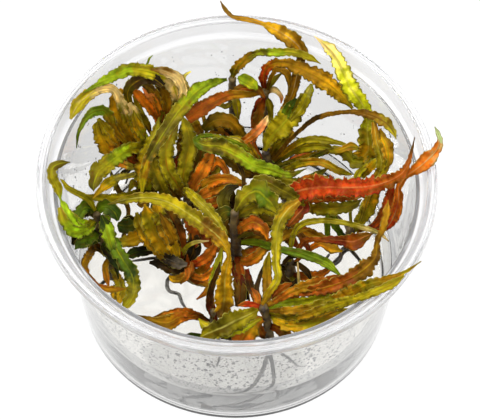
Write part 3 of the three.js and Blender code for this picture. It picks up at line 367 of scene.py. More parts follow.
clear_agar = clear_finish("clear_agar", (0.985, 0.968, 0.925), 0.02, AGAR_INDEX, (220.0, 0.00004))
# The side's and the lip's darker tints are painted shade; the agar itself is as clear as its top.
shaded_agar_side = clear_finish("clear_agar_side", (0.5, 0.5, 0.49), 0.02, AGAR_INDEX)
shaded_agar_lip = clear_finish("clear_agar_lip", (0.72, 0.72, 0.71), 0.02, AGAR_INDEX)
for agar in (clear_agar, shaded_agar_side, shaded_agar_lip):
    inside = agar.node_tree.nodes.new("ShaderNodeVolumeAbsorption")
    inside.inputs["Color"].default_value = AGAR_DIMMED_TO
    inside.inputs["Density"].default_value = AGAR_DIMMING
    agar.node_tree.links.new(inside.outputs[0], agar.node_tree.nodes["Material Output"].inputs["Volume"])
gel_bottom = [(0, GEL_BOTTOM), (44.4, GEL_BOTTOM), (45.1, GEL_BOTTOM)]
gel = turned(
    "agar_bed",
    [*gel_bottom, *gel_side, *gel_lip, *gel_top, *gel_rings, (0, GEL_HEIGHT)],
    GEL_TURN,
    [clear_agar, shaded_agar_side, shaded_agar_lip],
    gel_swell,
)
centres = face_centres(gel)
on_side = np.hypot(centres[:, 0], centres[:, 1]) > GEL_SIDE_FROM
on_lip = centres[:, 2] > GEL_LIP_FROM
gel.data.polygons.foreach_set("material_index", (on_side + (on_side & on_lip)).astype(np.int32))
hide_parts("gel")
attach(gel, "root")

# Condensation: beads of water on the inside of the wall, most of them in a fine mist low on the
# front wall, fewer and larger ones on both sides. Each is a low dome that clings to the plastic.
# The water is tinted grey, painted shade that darkens the beads.
DROP_SIDES = 8
DROP_LATITUDES = np.radians([0, 35, 65])
DROP_HEIGHT = 0.55
DROP_SUNK = 0.03
WALL_UPWARD = np.array([WALL_FLARE, 1]) / math.hypot(WALL_FLARE, 1)
# The grey tint of the water is painted shade; the beads themselves are clear.
water = clear_finish("condensed_water", (0.5, 0.5, 0.5), 0.0, 1.333)


def wall_drops(name, seed, count, angle_range, height_range, size_range, run_down=1.25):
    """Domes on the inner wall. A dome's point at latitude t and turn a stands size cos t cos a
    sideways, size run_down cos t sin a up the wall and DROP_HEIGHT size sin t inwards. Small drops
    are the most frequent: the sizes are smallest (largest / smallest)^(x^2.2), x even in 0 to 1."""
    rng = np.random.default_rng(seed)
    angle = np.radians(rng.uniform(*angle_range, count))
    height = rng.uniform(*height_range, count)
    size = size_range[0] * (size_range[1] / size_range[0]) ** (rng.uniform(0, 1, count) ** 2.2)
    radius = inside_radius(height) - DROP_SUNK
    centre = np.stack([radius * np.cos(angle), radius * np.sin(angle), height], -1)
    inward = np.stack([-np.cos(angle), -np.sin(angle), 0 * angle], -1)
    sideways = np.stack([-np.sin(angle), np.cos(angle), 0 * angle], -1)
    turn = np.linspace(0, 2 * np.pi, DROP_SIDES, endpoint=False)
    t, a = np.meshgrid(DROP_LATITUDES, turn, indexing="ij")
    side = (np.cos(t) * np.cos(a)).ravel()
    up = run_down * (np.cos(t) * np.sin(a)).ravel()
    rise = DROP_HEIGHT * np.sin(t).ravel()
    side, up, rise = np.append(side, 0), np.append(up, 0), np.append(rise, DROP_HEIGHT)
    outward, upward = WALL_UPWARD
    climb = np.stack([np.cos(angle) * outward, np.sin(angle) * outward, 0 * angle + upward], -1)
    points = (
        centre[:, None, :]
        + size[:, None, None] * side[None, :, None] * sideways[:, None, :]
        + size[:, None, None] * up[None, :, None] * climb[:, None, :]
        + size[:, None, None] * rise[None, :, None] * inward[:, None, :]
    )
    n = DROP_SIDES
    s = np.arange(n)
    after = (s + 1) % n
    bands = np.concatenate([np.stack([after + r, s + r, s + r + n, after + r + n], -1) for r in (0, n)])
    caps = np.stack([after + 2 * n, s + 2 * n, 3 * n + 0 * s], -1)
    first = ((3 * n + 1) * np.arange(count))[:, None, None]
    faces = listed([(first + part).reshape(-1, part.shape[1]) for part in (bands, caps, s[None, :])])
    drops = piece_from(name, points.reshape(-1, 3), faces, [water])
    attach(drops, "root")
    return drops


wall_drops("drops_front_mist", 3, 1900, (214, 326), (19, 50), (0.14, 0.4))
wall_drops("drops_front_low", 4, 70, (240, 300), (19, 44), (0.3, 0.7), 1.4)
wall_drops("drops_left", 5, 90, (130, 215), (26, 54), (0.16, 0.5), 1.8)
wall_drops("drops_right", 6, 80, (-38, 40), (26, 54), (0.16, 0.5), 1.6)
wall_drops("drops_back", 7, 60, (45, 130), (24, 54), (0.15, 0.38))

# Crowns: each plantlet is a short woody rhizome that stands in the gel, with wiry roots running
# sideways through it. Old leaf scars ring the stem, and fine hairs make the young roots look furry.
ROOT_STEP = 0.8
STEM_SIDES, ROOT_SIDES = 14, 8
STEM_RINGS, ROOT_RINGS = 0.16, 0.05
SCAR_SPACING = 1.3
SKIN_WOBBLE = 0.07
HAIR_STEP = 0.4
HAIR_HALF_WIDTH, HAIR_DEPTH = 0.05, 0.06
HAIR_LENGTH = 0.9
HAIRS_PER_MM = 7


def easy_curve(route, step):
    """Points, directions, sizes and travel along a curve through a route of (x, y, z, size) in mm.
    Between two points p and q with slopes v and w the curve is p + v t + (3(q-p) - 2v - w) t^2 +
    (2(p-q) + v + w) t^3, a slope being half the chord between the neighbours, and the size eases
    from one point's to the next one's as t^2 (3 - 2t)."""
    knots = np.array(route, float)
    spots, sizes = knots[:, :3], knots[:, 3]
    wide = np.vstack([2 * spots[0] - spots[1], spots, 2 * spots[-1] - spots[-2]])
    slopes = (wide[2:] - wide[:-2]) / 2
    chords = np.linalg.norm(np.diff(spots, axis=0), axis=1)
    counts = np.maximum(1, np.round(chords / step)).astype(int)
    leg = np.append(np.repeat(np.arange(len(counts)), counts), len(counts) - 1)
    before = np.repeat(np.cumsum(counts) - counts, counts)
    t = np.append((np.arange(counts.sum()) - before) / np.repeat(counts, counts), 1.0)
    p, q, v, w = spots[leg], spots[leg + 1], slopes[leg], slopes[leg + 1]
    s = t[:, None]
    square, cube = 3 * (q - p) - 2 * v - w, 2 * (p - q) + v + w
    points = p + v * s + square * s**2 + cube * s**3
    ahead = v + 2 * square * s + 3 * cube * s**2
    ahead /= np.linalg.norm(ahead, axis=1, keepdims=True)
    ease = t * t * (3 - 2 * t)
    size = sizes[leg] * (1 - ease) + sizes[leg + 1] * ease
    travel = np.append(0, np.cumsum(np.linalg.norm(np.diff(points, axis=0), axis=1)))
    return points, ahead, size, travel, leg + t


def rod(route, sides, rings, seed):
    """A round stem or root: circles carried along the curve, the radius varied by leaf scars,
    r (1 + rings (|sin(pi s / scar spacing)| - 1/2)) (1 + wobble), with a flat face at both ends."""
    points, ahead, size, travel, _ = easy_curve(route, ROOT_STEP)
    rng = np.random.default_rng(seed)
    guide = np.where(np.abs(ahead[:, 2:]) > 0.9, [[1.0, 0, 0]], [[0, 0, 1.0]])
    first = guide - ahead * (guide * ahead).sum(1, keepdims=True)
    first /= np.linalg.norm(first, axis=1, keepdims=True)
    turns = np.sign((first[1:] * first[:-1]).sum(1))
    first[1:] *= np.cumprod(np.where(turns == 0, 1, turns))[:, None]
    second = np.cross(ahead, first)
    around = np.linspace(0, 2 * np.pi, sides, endpoint=False)
    scars = 1 + rings * np.abs(np.sin(np.pi * travel / SCAR_SPACING)) - rings / 2
    wobble = 1 + SKIN_WOBBLE * rng.standard_normal((len(travel), sides))
    reach = (size * scars)[:, None] * wobble
    skin = (
        points[:, None, :]
        + (reach * np.cos(around))[:, :, None] * first[:, None, :]
        + (reach * np.sin(around))[:, :, None] * second[:, None, :]
    )
    n, m = len(travel), sides
    i, j = np.meshgrid(np.arange(n - 1), np.arange(m), indexing="ij")
    k = (j + 1) % m
    sides_round = np.stack([i * m + j, i * m + k, (i + 1) * m + k, (i + 1) * m + j], -1).reshape(-1, 4)
    ends = np.stack([np.arange(m)[::-1], np.arange((n - 1) * m, n * m)])
    return skin.reshape(-1, 3), (sides_round, ends)


def root_hairs(route, seed):
    """Fine straight hairs on a root, each a three-sided spike, that start on the root's centre line
    and point away from it and a little ahead, in directions of a seeded draw."""
    points, ahead, size, travel, _ = easy_curve(route, HAIR_STEP)
    rng = np.random.default_rng(seed)
    count = int(travel[-1] * HAIRS_PER_MM)
    at = rng.integers(1, len(points) - 1, count)
    way = rng.standard_normal((count, 3))
    way -= ahead[at] * (way * ahead[at]).sum(1, keepdims=True)
    way = way / np.linalg.norm(way, axis=1, keepdims=True) + 0.3 * ahead[at]
    long = size[at] + HAIR_LENGTH * rng.uniform(0.4, 1, count)
    side = np.cross(way, ahead[at])
    foot = points[at]
    a, b = foot + HAIR_HALF_WIDTH * side, foot - HAIR_HALF_WIDTH * side
    c = foot + HAIR_DEPTH * ahead[at]
    tip = foot + way * long[:, None]
    skin = np.stack([a, b, c, tip], 1).reshape(-1, 3)
    first = 4 * np.arange(count)[:, None]
    return skin, tuple(first + [spike] for spike in ([0, 1, 3], [1, 2, 3], [2, 0, 3], [2, 1, 0]))


def bark_finish(name, dark, light, roughness=0.6):
    """Stem and root skin: dark and light bands along the piece by a noise in object coordinates."""
    finish, nodes, links, shader = new_finish(name)
    place = nodes.new("ShaderNodeTexCoord").outputs["Object"]
    patches = noise_of(nodes, links, place, 420.0, 4.0)
    tones = nodes.new("ShaderNodeValToRGB")
    tones.color_ramp.elements[0].position = 0.36
    tones.color_ramp.elements[0].color = (*dark, 1)
    tones.color_ramp.elements[1].position = 0.66
    tones.color_ramp.elements[1].color = (*light, 1)
    relief = nodes.new("ShaderNodeBump")
    relief.inputs["Distance"].default_value = 0.0002
    relief.inputs["Strength"].default_value = 0.6
    links.new(patches, tones.inputs[0])
    links.new(tones.outputs[0], shader.inputs["Base Color"])
    links.new(patches, relief.inputs["Height"])
    links.new(relief.outputs["Normal"], shader.inputs["Normal"])
    shader.inputs["Roughness"].default_value = roughness
    return finish


stem_bark = bark_finish("stem_bark", (0.030, 0.016, 0.006), (0.17, 0.11, 0.025))
root_bark = bark_finish("root_bark", (0.022, 0.018, 0.014), (0.13, 0.10, 0.06))
root_down = bark_finish("root_down", (0.25, 0.23, 0.19), (0.45, 0.43, 0.38), 0.8)
root_pale = bark_finish("root_pale", (0.16, 0.155, 0.14), (0.42, 0.41, 0.38), 0.8)


def crown(plantlet, seed, stem, roots, pale=()):
    """One plantlet's stem and roots in one mesh, with hairs on the roots. The roots numbered in pale
    are young and grey, the others brown."""
    finishes = [stem_bark, root_bark, root_down, root_pale]
    parts = [(rod(stem, STEM_SIDES, STEM_RINGS, seed), stem_bark)]
    for number, route in enumerate(roots):
        bark = root_pale if number in pale else root_bark
        parts.append((rod(route, ROOT_SIDES, ROOT_RINGS, seed + 10 + number), bark))
        parts.append((root_hairs(route, seed + 40 + number), root_down))
    faces, finish_of_face, start = [], [], 0
    for (skin, groups), finish in parts:
        faces += listed(groups, start)
        finish_of_face += [finishes.index(finish)] * (len(faces) - len(finish_of_face))
        start += len(skin)
    points = np.vstack([skin for (skin, _), _ in parts])
    piece = piece_from(f"{plantlet}_crown", points, faces, finishes, finish_of_face=finish_of_face)
    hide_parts(f"crown_{plantlet}")
    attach(piece, "root")
    return piece


# Leaves: narrow ribbons with a pale midrib, crisped edges that rise and fall, and finely notched
# margins that are darker than the blade. A blade is thin enough to let light through.
LEAF_STEP = 0.3
LEAF_COLUMNS = 11
COARSE_STEP = 3.6
FULLNESS = 1.1
SLOW_WAVE, LOBE_WAVE, RUFFLE_WAVE, CRISP_WAVE = 11, 4.6, 5.2, 2.4
TOOTH_SPACING = 1.7
SEE_THROUGH = 0.36
STREAKS_ACROSS = 3.2
STREAK_LENGTH = 11.0
TOWARDS_LIGHT = np.array([0, -0.54, 0.84])
LEAF_TONES = {
    "dark green": "#2f400c", "deep green": "#55680c", "leaf green": "#7f8f10", "bright green": "#8ea618",
    "yellow green": "#a8a814", "pale yellow": "#cac158", "olive": "#80740a", "yellow olive": "#9c8e0e",
    "dark olive": "#564c08", "golden": "#b08a0c", "golden brown": "#946c0a", "beige": "#c6b070",
    "orange": "#aa6010", "bright orange": "#c47814", "rust": "#8c480a", "brown": "#6c4a08",
    "dark brown": "#3c2808", "red": "#9e3a0e", "bright red": "#b0380e", "dark red": "#6a2408",
    "salmon": "#cf8446", "near black": "#1c1608", "grey green": "#7f8a5c", "grey brown": "#6d6250",
}


def tone(name):
    """A leaf tone as linear red, green and blue."""
    value = np.array([int(LEAF_TONES[name][i : i + 2], 16) / 255 for i in (1, 3, 5)])
    return tuple(np.where(value <= 0.04045, value / 12.92, ((value + 0.055) / 1.055) ** 2.4))


def leaf_finish(name, along, rib, margin, length):
    """A leaf blade. Tones change from the base to the tip, the midrib is paler, brown and pale
    streaks run lengthwise, the margin is darker with a thin pale lip, and noise mottles it all."""
    finish, nodes, links, shader = new_finish(name)

    def new(kind, **settings):
        node = nodes.new(kind)
        for key, value in settings.items():
            setattr(node, key, value)
        return node

    def math_of(operation, first, second=None, third=None):
        node = new("ShaderNodeMath", operation=operation)
        for socket, value in zip(node.inputs, (first, second, third)):
            if value is None:
                continue
            if isinstance(value, (int, float)):
                socket.default_value = value
            else:
                links.new(value, socket)
        return node.outputs[0]

    def eased(value, start, end, low=0.0, high=1.0):
        node = new("ShaderNodeMapRange", interpolation_type="SMOOTHSTEP")
        links.new(value, node.inputs["Value"])
        for socket, number in zip(("From Min", "From Max", "To Min", "To Max"), (start, end, low, high)):
            node.inputs[socket].default_value = number
        return node.outputs["Result"]

    def mixed(share, base, over):
        node = new("ShaderNodeMix", data_type="RGBA")
        links.new(share, node.inputs["Factor"])
        links.new(base, node.inputs["A"])
        node.inputs["B"].default_value = (*over, 1)
        return node.outputs["Result"]

    place = new("ShaderNodeTexCoord").outputs["Object"]
    patch = noise_of(nodes, links, place, 300.0, 3.0)
    speck = noise_of(nodes, links, place, 1500.0, 2.0)
    across_along = new("ShaderNodeUVMap", uv_map="along_the_piece").outputs["UV"]
    parts = new("ShaderNodeSeparateXYZ")
    links.new(across_along, parts.inputs[0])
    drawn_out = new("ShaderNodeVectorMath", operation="MULTIPLY")
    drawn_out.inputs[1].default_value = (STREAKS_ACROSS, length / STREAK_LENGTH, 1.0)
    links.new(across_along, drawn_out.inputs[0])
    streak = noise_of(nodes, links, drawn_out.outputs[0], 1.0, 1.2)
    from_middle = math_of("SUBTRACT", parts.outputs["X"], 0.5)
    out_from_rib = math_of("MULTIPLY", math_of("ABSOLUTE", from_middle), 2.0)
    travel = math_of("ADD", parts.outputs["Y"], math_of("MULTIPLY_ADD", patch, 0.5, -0.25))
    tones = new("ShaderNodeValToRGB")
    tones.color_ramp.interpolation = "EASE"
    stops = tones.color_ramp.elements
    along = along.split(", ")
    while len(stops) < len(along):
        stops.new(0.5)
    for index, colour in enumerate(along):
        stops[index].position = 0.03 + 0.94 * index / (len(along) - 1)
        stops[index].color = (*tone(colour), 1)
    links.new(travel, tones.inputs[0])
    streak_light, patch_light = eased(streak, 0.34, 0.66, 0.88, 1.48), eased(patch, 0.36, 0.64, 0.9, 1.38)
    bright = math_of("MULTIPLY", streak_light, patch_light)
    shaded = new("ShaderNodeHueSaturation")
    links.new(math_of("MULTIPLY_ADD", speck, 0.05, 0.475), shaded.inputs["Hue"])
    links.new(tones.outputs[0], shaded.inputs["Color"])
    links.new(bright, shaded.inputs["Value"])
    brown_share = math_of("MULTIPLY", eased(streak, 0.46, 0.34), eased(patch, 0.45, 0.6, 0.05, 0.5))
    rib_line = eased(out_from_rib, 0.03, 0.12, 1.0, 0.0)
    rib_share = math_of("MULTIPLY", rib_line, eased(patch, 0.38, 0.6, 0.15, 0.75))
    margin_from = math_of("ADD", out_from_rib, math_of("MULTIPLY_ADD", speck, 0.6, -0.3))
    margin_share = eased(margin_from, 0.7, 1.02, 0.0, 0.85)
    lip_share = math_of("MULTIPLY", eased(out_from_rib, 0.88, 0.96), eased(patch, 0.4, 0.56, 0.15, 0.75))
    colour = mixed(brown_share, shaded.outputs["Color"], tone("brown"))
    colour = mixed(rib_share, colour, tone(rib))
    colour = mixed(margin_share, colour, tone(margin))
    colour = mixed(lip_share, colour, tone("pale yellow"))
    relief = new("ShaderNodeBump")
    relief.inputs["Strength"].default_value = 1.0
    relief.inputs["Distance"].default_value = 0.00022
    height = math_of("MULTIPLY_ADD", streak, 1.4, math_of("MULTIPLY", speck, 0.5))
    links.new(math_of("SUBTRACT", height, math_of("MULTIPLY", rib_line, 0.7)), relief.inputs["Height"])
    links.new(relief.outputs["Normal"], shader.inputs["Normal"])
    links.new(colour, shader.inputs["Base Color"])
    shader.inputs["Roughness"].default_value = 0.45
    shader.inputs["Specular IOR Level"].default_value = 0.1
    glow = new("ShaderNodeBsdfTranslucent")
    lit = new("ShaderNodeHueSaturation")
    lit.inputs["Saturation"].default_value = 1.1
    lit.inputs["Value"].default_value = 1.6
    links.new(colour, lit.inputs["Color"])
    links.new(lit.outputs["Color"], glow.inputs["Color"])
    blend = new("ShaderNodeMixShader")
    blend.inputs[0].default_value = SEE_THROUGH
    links.new(shader.outputs[0], blend.inputs[1])
    links.new(glow.outputs[0], blend.inputs[2])
    links.new(blend.outputs[0], nodes["Material Output"].inputs["Surface"])
    return finish


def blade_directions(route, where):
    """Sideways directions across a ribbon that faces the light, read off stations 3.6 mm apart
    (the direction ahead crossed with the light's part at right angles to it, never reversed from
    one station to the next, each averaged with its neighbours) and drawn out to every row."""
    _, ahead, _, _, knots = easy_curve(route, COARSE_STEP)
    face = TOWARDS_LIGHT - ahead * (ahead @ TOWARDS_LIGHT)[:, None]
    across = np.cross(ahead, face)
    across /= np.linalg.norm(across, axis=1, keepdims=True)
    turns = np.sign((across[1:] * across[:-1]).sum(1))
    across[1:] *= np.cumprod(np.where(turns == 0, 1, turns))[:, None]
    padded = np.vstack([across[:1], across, across[-1:]])
    across = padded[:-2] + padded[1:-1] + padded[2:]
    across -= ahead * (across * ahead).sum(1, keepdims=True)
    across /= np.linalg.norm(across, axis=1, keepdims=True)
    return np.stack([np.interp(where, knots, across[:, axis]) for axis in range(3)], -1)


def blade(route, ruffle, crisp, seed):
    """A closed ribbon. At u from -1 to 1 across and s along, the blade lies u w(s) sideways, with
    the half width w notched by pointed teeth |sin| of s and a fine jitter on each edge, and rises by
    fold width |u|^1.4 + ruffle |u|^1.7 (two sine waves of s) + three lengthwise creases."""
    points, ahead, size, travel, where = easy_curve(route, LEAF_STEP)
    across = blade_directions(route, where)
    across -= ahead * (across * ahead).sum(1, keepdims=True)
    across /= np.linalg.norm(across, axis=1, keepdims=True)
    face = np.cross(across, ahead)
    rng = np.random.default_rng(seed)
    length = travel[-1]
    fade = np.clip(travel / 5, 0, 1) * np.clip((length - travel) / 4, 0.15, 1)
    u = np.linspace(-1, 1, LEAF_COLUMNS)
    offsets, rises = [], []
    drift = np.cumsum(rng.standard_normal(len(travel))) * 0.05
    for edge in (0, 1):
        phase = rng.uniform(0, 2 * np.pi, 6)
        slow = 0.7 * np.sin(2 * np.pi * travel / SLOW_WAVE + phase[0])
        main = np.sin(2 * np.pi * travel / RUFFLE_WAVE + phase[1] + slow + drift)
        small = np.sin(2 * np.pi * travel / CRISP_WAVE + phase[2] - drift)
        tooth = np.abs(np.sin(np.pi * travel / TOOTH_SPACING + phase[3] + slow)) - 0.6
        lobe = np.sin(2 * np.pi * travel / LOBE_WAVE + phase[4] + drift)
        jitter = np.convolve(rng.standard_normal(len(travel) + 2), [0.25, 0.5, 0.25], "valid")
        offsets.append(1 + fade * crisp * (0.22 * tooth + 0.09 * lobe + 0.06 * jitter) + 0.03 * jitter)
        rises.append(fade * (main + 0.55 * small))
    edge_of = (u > 0).astype(int)
    spread = np.abs(u) ** 0.9 * np.sign(u)
    half = FULLNESS * size[:, None] / 2
    outline = np.stack(offsets, -1)[:, edge_of] * half
    bend = np.stack(rises, -1)[:, edge_of] * np.minimum(1.25 * ruffle, 0.2 * size)[:, None]
    sideways = spread * outline
    fold = rng.uniform(0.08, 0.2) * (1 + 0.5 * np.sin(travel / 7 + phase[5]))
    weave = 0.35 * np.sin(travel / 3.1 + phase[5]) + 0.25 * drift
    creases = np.cos(2 * np.pi * (1.5 * u + weave[:, None])) * np.minimum(0.04 * size, 0.16)[:, None]
    rise = fold[:, None] * size[:, None] * np.abs(u) ** 1.4 + bend * np.abs(u) ** 1.7
    rise = rise + creases * np.clip(1.3 - np.abs(u), 0, 1) * fade[:, None]
    thick = np.minimum(0.15, 0.06 + 0.05 * size)[:, None] * (1 - 0.7 * np.abs(u) ** 2)
    middle = points[:, None, :] + sideways[:, :, None] * across[:, None, :]
    middle = middle + rise[:, :, None] * face[:, None, :]
    upper = middle + thick[:, :, None] * face[:, None, :]
    lower = (middle - thick[:, :, None] * face[:, None, :])[:, ::-1][:, 1:-1]
    upper[:, 0], upper[:, -1] = middle[:, 0], middle[:, -1]
    ring = np.concatenate([upper, lower], 1)
    n, m = len(travel), ring.shape[1]
    i, j = np.meshgrid(np.arange(n - 1), np.arange(m), indexing="ij")
    k = (j + 1) % m
    sides = np.stack([i * m + j, (i + 1) * m + j, (i + 1) * m + k, i * m + k], -1).reshape(-1, 4)
    ends = np.stack([np.arange(m), np.arange((n - 1) * m, n * m)[::-1]])
    share = (u + 1) / 2
    corner = np.concatenate([share, share[::-1][1:-1]])
    uv = np.stack([np.repeat(corner[None, :], n, 0), np.repeat((travel / length)[:, None], m, 1)], -1)
    return ring.reshape(-1, 3), (sides, ends), uv.reshape(-1, 2), float(length)


def leaf(name, ruffle, crisp, rib, margin, tones, route):
    """A long leaf, a piece of its own. The draws of its edges are seeded by the letters of its name,
    and tones lists its colours from the base to the tip."""
    points, groups, uv, length = blade(route, ruffle, crisp, sum(map(ord, name)))
    finish = leaf_finish(f"blade_of_{name}", tones, rib, margin, length)
    piece = piece_from(f"{name}_leaf", points, listed(groups), [finish], uv)
    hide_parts(f"leaf_{name}")
    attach(piece, "root")
    return piece


def young_leaves(plantlet, leaves):
    """The youngest leaves of one plantlet, still joined to its crown, in one mesh."""
    points, faces, uv, finishes, finish_of_face = [], [], [], [], []
    start = 0
    for number, (name, ruffle, crisp, rib, tones, route) in enumerate(leaves):
        skin, groups, skin_uv, length = blade(route, ruffle, crisp, sum(map(ord, name)))
        finishes.append(leaf_finish(f"blade_of_{name}", tones, rib, "dark brown", length))
        points.append(skin)
        uv.append(skin_uv)
        faces += listed(groups, start)
        finish_of_face += [number] * (len(faces) - len(finish_of_face))
        start += len(skin)
    piece = piece_from(
        f"young_leaves_{plantlet}", np.vstack(points), faces, finishes, np.vstack(uv), finish_of_face
    )
    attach(piece, "root")
    return piece


# Back plantlet: a bare upright stem close to the far wall. Three green and olive leaves arch from
# its top. Of its young leaves, a pale one hangs down and an olive and rust one reaches to the left.
crown("back", 105,
      [(-1, 45, 12, 1.1), (-1, 45, 18, 1.3), (-1.5, 46, 25, 1.2), (-2, 46.5, 34, 1.1),
       (-2, 46.5, 45, 1.1)],
      [[(-1, 45, 13, 0.6), (-4, 42.5, 12, 0.5), (-9, 41, 12.5, 0.3)],
       [(-1, 45, 13, 0.6), (2, 42, 11, 0.5), (3, 38, 12, 0.3)]])
young_leaves("back", [
    ("pale_drop", 0.3, 0.3, "beige", "beige, yellow olive, olive",
     [(-2, 47, 41, 1.2), (-1.5, 45, 39.5, 2.4), (-0.5, 43, 35, 2.5), (0, 41.5, 30, 0.9)]),
    ("second_bridge", 0.3, 0.4, "beige", "olive, olive, rust, brown",
     [(-1.5, 46.5, 33, 0.9), (-4, 41.5, 37, 1.5), (-7.5, 40.5, 40, 1.8), (-11.5, 37.5, 41, 1.8),
      (-15.5, 34.5, 40, 0.6)]),
])
leaf("back_long_green", 0.5, 0.5, "yellow green", "dark olive",
     "deep green, leaf green, leaf green, olive, dark olive, dark olive, golden brown, yellow olive",
     [(-3.7, 46, 45, 0.9), (-8, 42.5, 48, 2.4), (-13, 38, 49.5, 4.2), (-18, 30.5, 50, 4.2),
      (-22.5, 23.5, 48, 3.6), (-26.5, 17, 45, 2.7), (-28, 13, 41, 2.4), (-28.5, 10.5, 36, 0.9)])
leaf("back_short_green", 0.5, 0.3, "yellow green", "deep green",
     "leaf green, leaf green, yellow green, leaf green",
     [(-0.3, 46.8, 45, 0.9), (1.5, 45.5, 46, 3.3), (4.2, 44.2, 45.3, 3.2), (5.6, 42.8, 44.5, 0.9)])
leaf("back_olive_arch", 0.8, 0.9, "yellow green", "dark olive",
     "dark olive, golden brown, dark olive, leaf green, olive, olive",
     [(-2, 46.5, 45.6, 1.2), (-1, 46.5, 50, 2.7), (2, 46.5, 55, 2.7), (5.5, 47, 58, 1.8),
      (10.5, 45.5, 60.5, 2.4), (16, 44.5, 62, 2.1), (20.5, 43.5, 61.5, 2.1), (24.5, 42, 60, 0.3)])

# Back right plantlet: a stem beside the first. A crisped red and brown leaf arches over to the
# right, an orange one lies across to the left, and small red and yellow young leaves hang down.
crown("back_right", 132,
      [(9, 44, 12, 1.1), (9, 44, 18, 1.3), (8.5, 45, 25, 1.2), (8, 45.5, 33, 1.1),
       (8, 45.5, 40, 1.2)],
      [[(9, 44, 13, 0.6), (13, 41.5, 12, 0.5), (17, 39.5, 12.5, 0.3)],
       [(9, 44, 13, 0.6), (8.5, 40.5, 11, 0.4), (6.5, 37, 12, 0.3)]])
young_leaves("back_right", [
    ("dark_spur", 0.3, 0.3, "olive", "dark olive, olive, dark olive",
     [(8.5, 46, 39, 1.2), (10.5, 47, 43.5, 1.8), (13, 48, 46, 0.6)]),
    ("beige_curl", 0.2, 0.3, "beige", "brown, beige, orange",
     [(8.7, 45.5, 39, 1.2), (11, 45.2, 41, 1.8), (13, 43.5, 40, 1.2), (13, 42, 38.5, 0.4)]),
    ("red_hanger", 0.4, 0.5, "orange", "red, dark red, rust, orange",
     [(7, 44.5, 37.5, 1.5), (6.5, 43, 36.5, 2.8), (5.5, 41.5, 32, 2.8), (4.5, 40.5, 27, 1.2)]),
    ("yellow_hanger", 0.3, 0.4, "pale yellow", "olive, yellow olive, yellow green",
     [(8.5, 45, 37, 1.2), (9.5, 44, 35, 2.1), (10, 42.5, 30.5, 1.5), (9.5, 41, 26, 0.4)]),
    ("bridge_root", 0.4, 0.6, "golden", "rust, brown, rust, brown",
     [(8, 43, 40, 0.9), (5.5, 44.5, 42.5, 2.4), (2, 44.5, 43.5, 2.7), (-1.5, 44, 43, 0.9)]),
    ("inner_arch", 0.3, 0.6, "golden", "brown, golden brown, brown",
     [(8.5, 46, 39.5, 0.9), (10, 47, 46, 1.2), (12, 47, 49.5, 1.8), (14.5, 45.5, 49.5, 2.1),
      (15.5, 44, 45, 1.2), (15, 43, 41, 0.5)]),
    ("brown_hanger", 0.5, 0.7, "orange", "dark red, rust, brown, rust",
     [(8, 43, 40, 0.9), (7, 42, 36, 2.4), (6, 40, 33, 2.7), (4.5, 38, 31, 0.9)]),
])
leaf("red_arch", 1, 1, "golden", "dark brown",
     "dark red, red, golden brown, golden brown, golden brown, golden, olive",
     [(7.8, 46, 40.7, 1.5), (7.5, 46.5, 46, 2.4), (9, 47, 51, 2.7), (13, 45.5, 55, 2.7),
      (19, 42, 57, 3.9), (25, 39, 56, 5.1), (30, 36.5, 53, 4.2), (34.5, 33.5, 49, 0.9)])
leaf("orange_bridge", 0.3, 0.5, "orange", "rust",
     "golden brown, golden brown, rust, rust, rust",
     [(6.2, 44.5, 40, 1.2), (2.5, 43, 41.5, 2.1), (-2.5, 41, 44, 2.7), (-7.5, 37.5, 45.5, 3.6),
      (-12, 34, 45.5, 4.2), (-15.5, 32, 44, 3.6)])

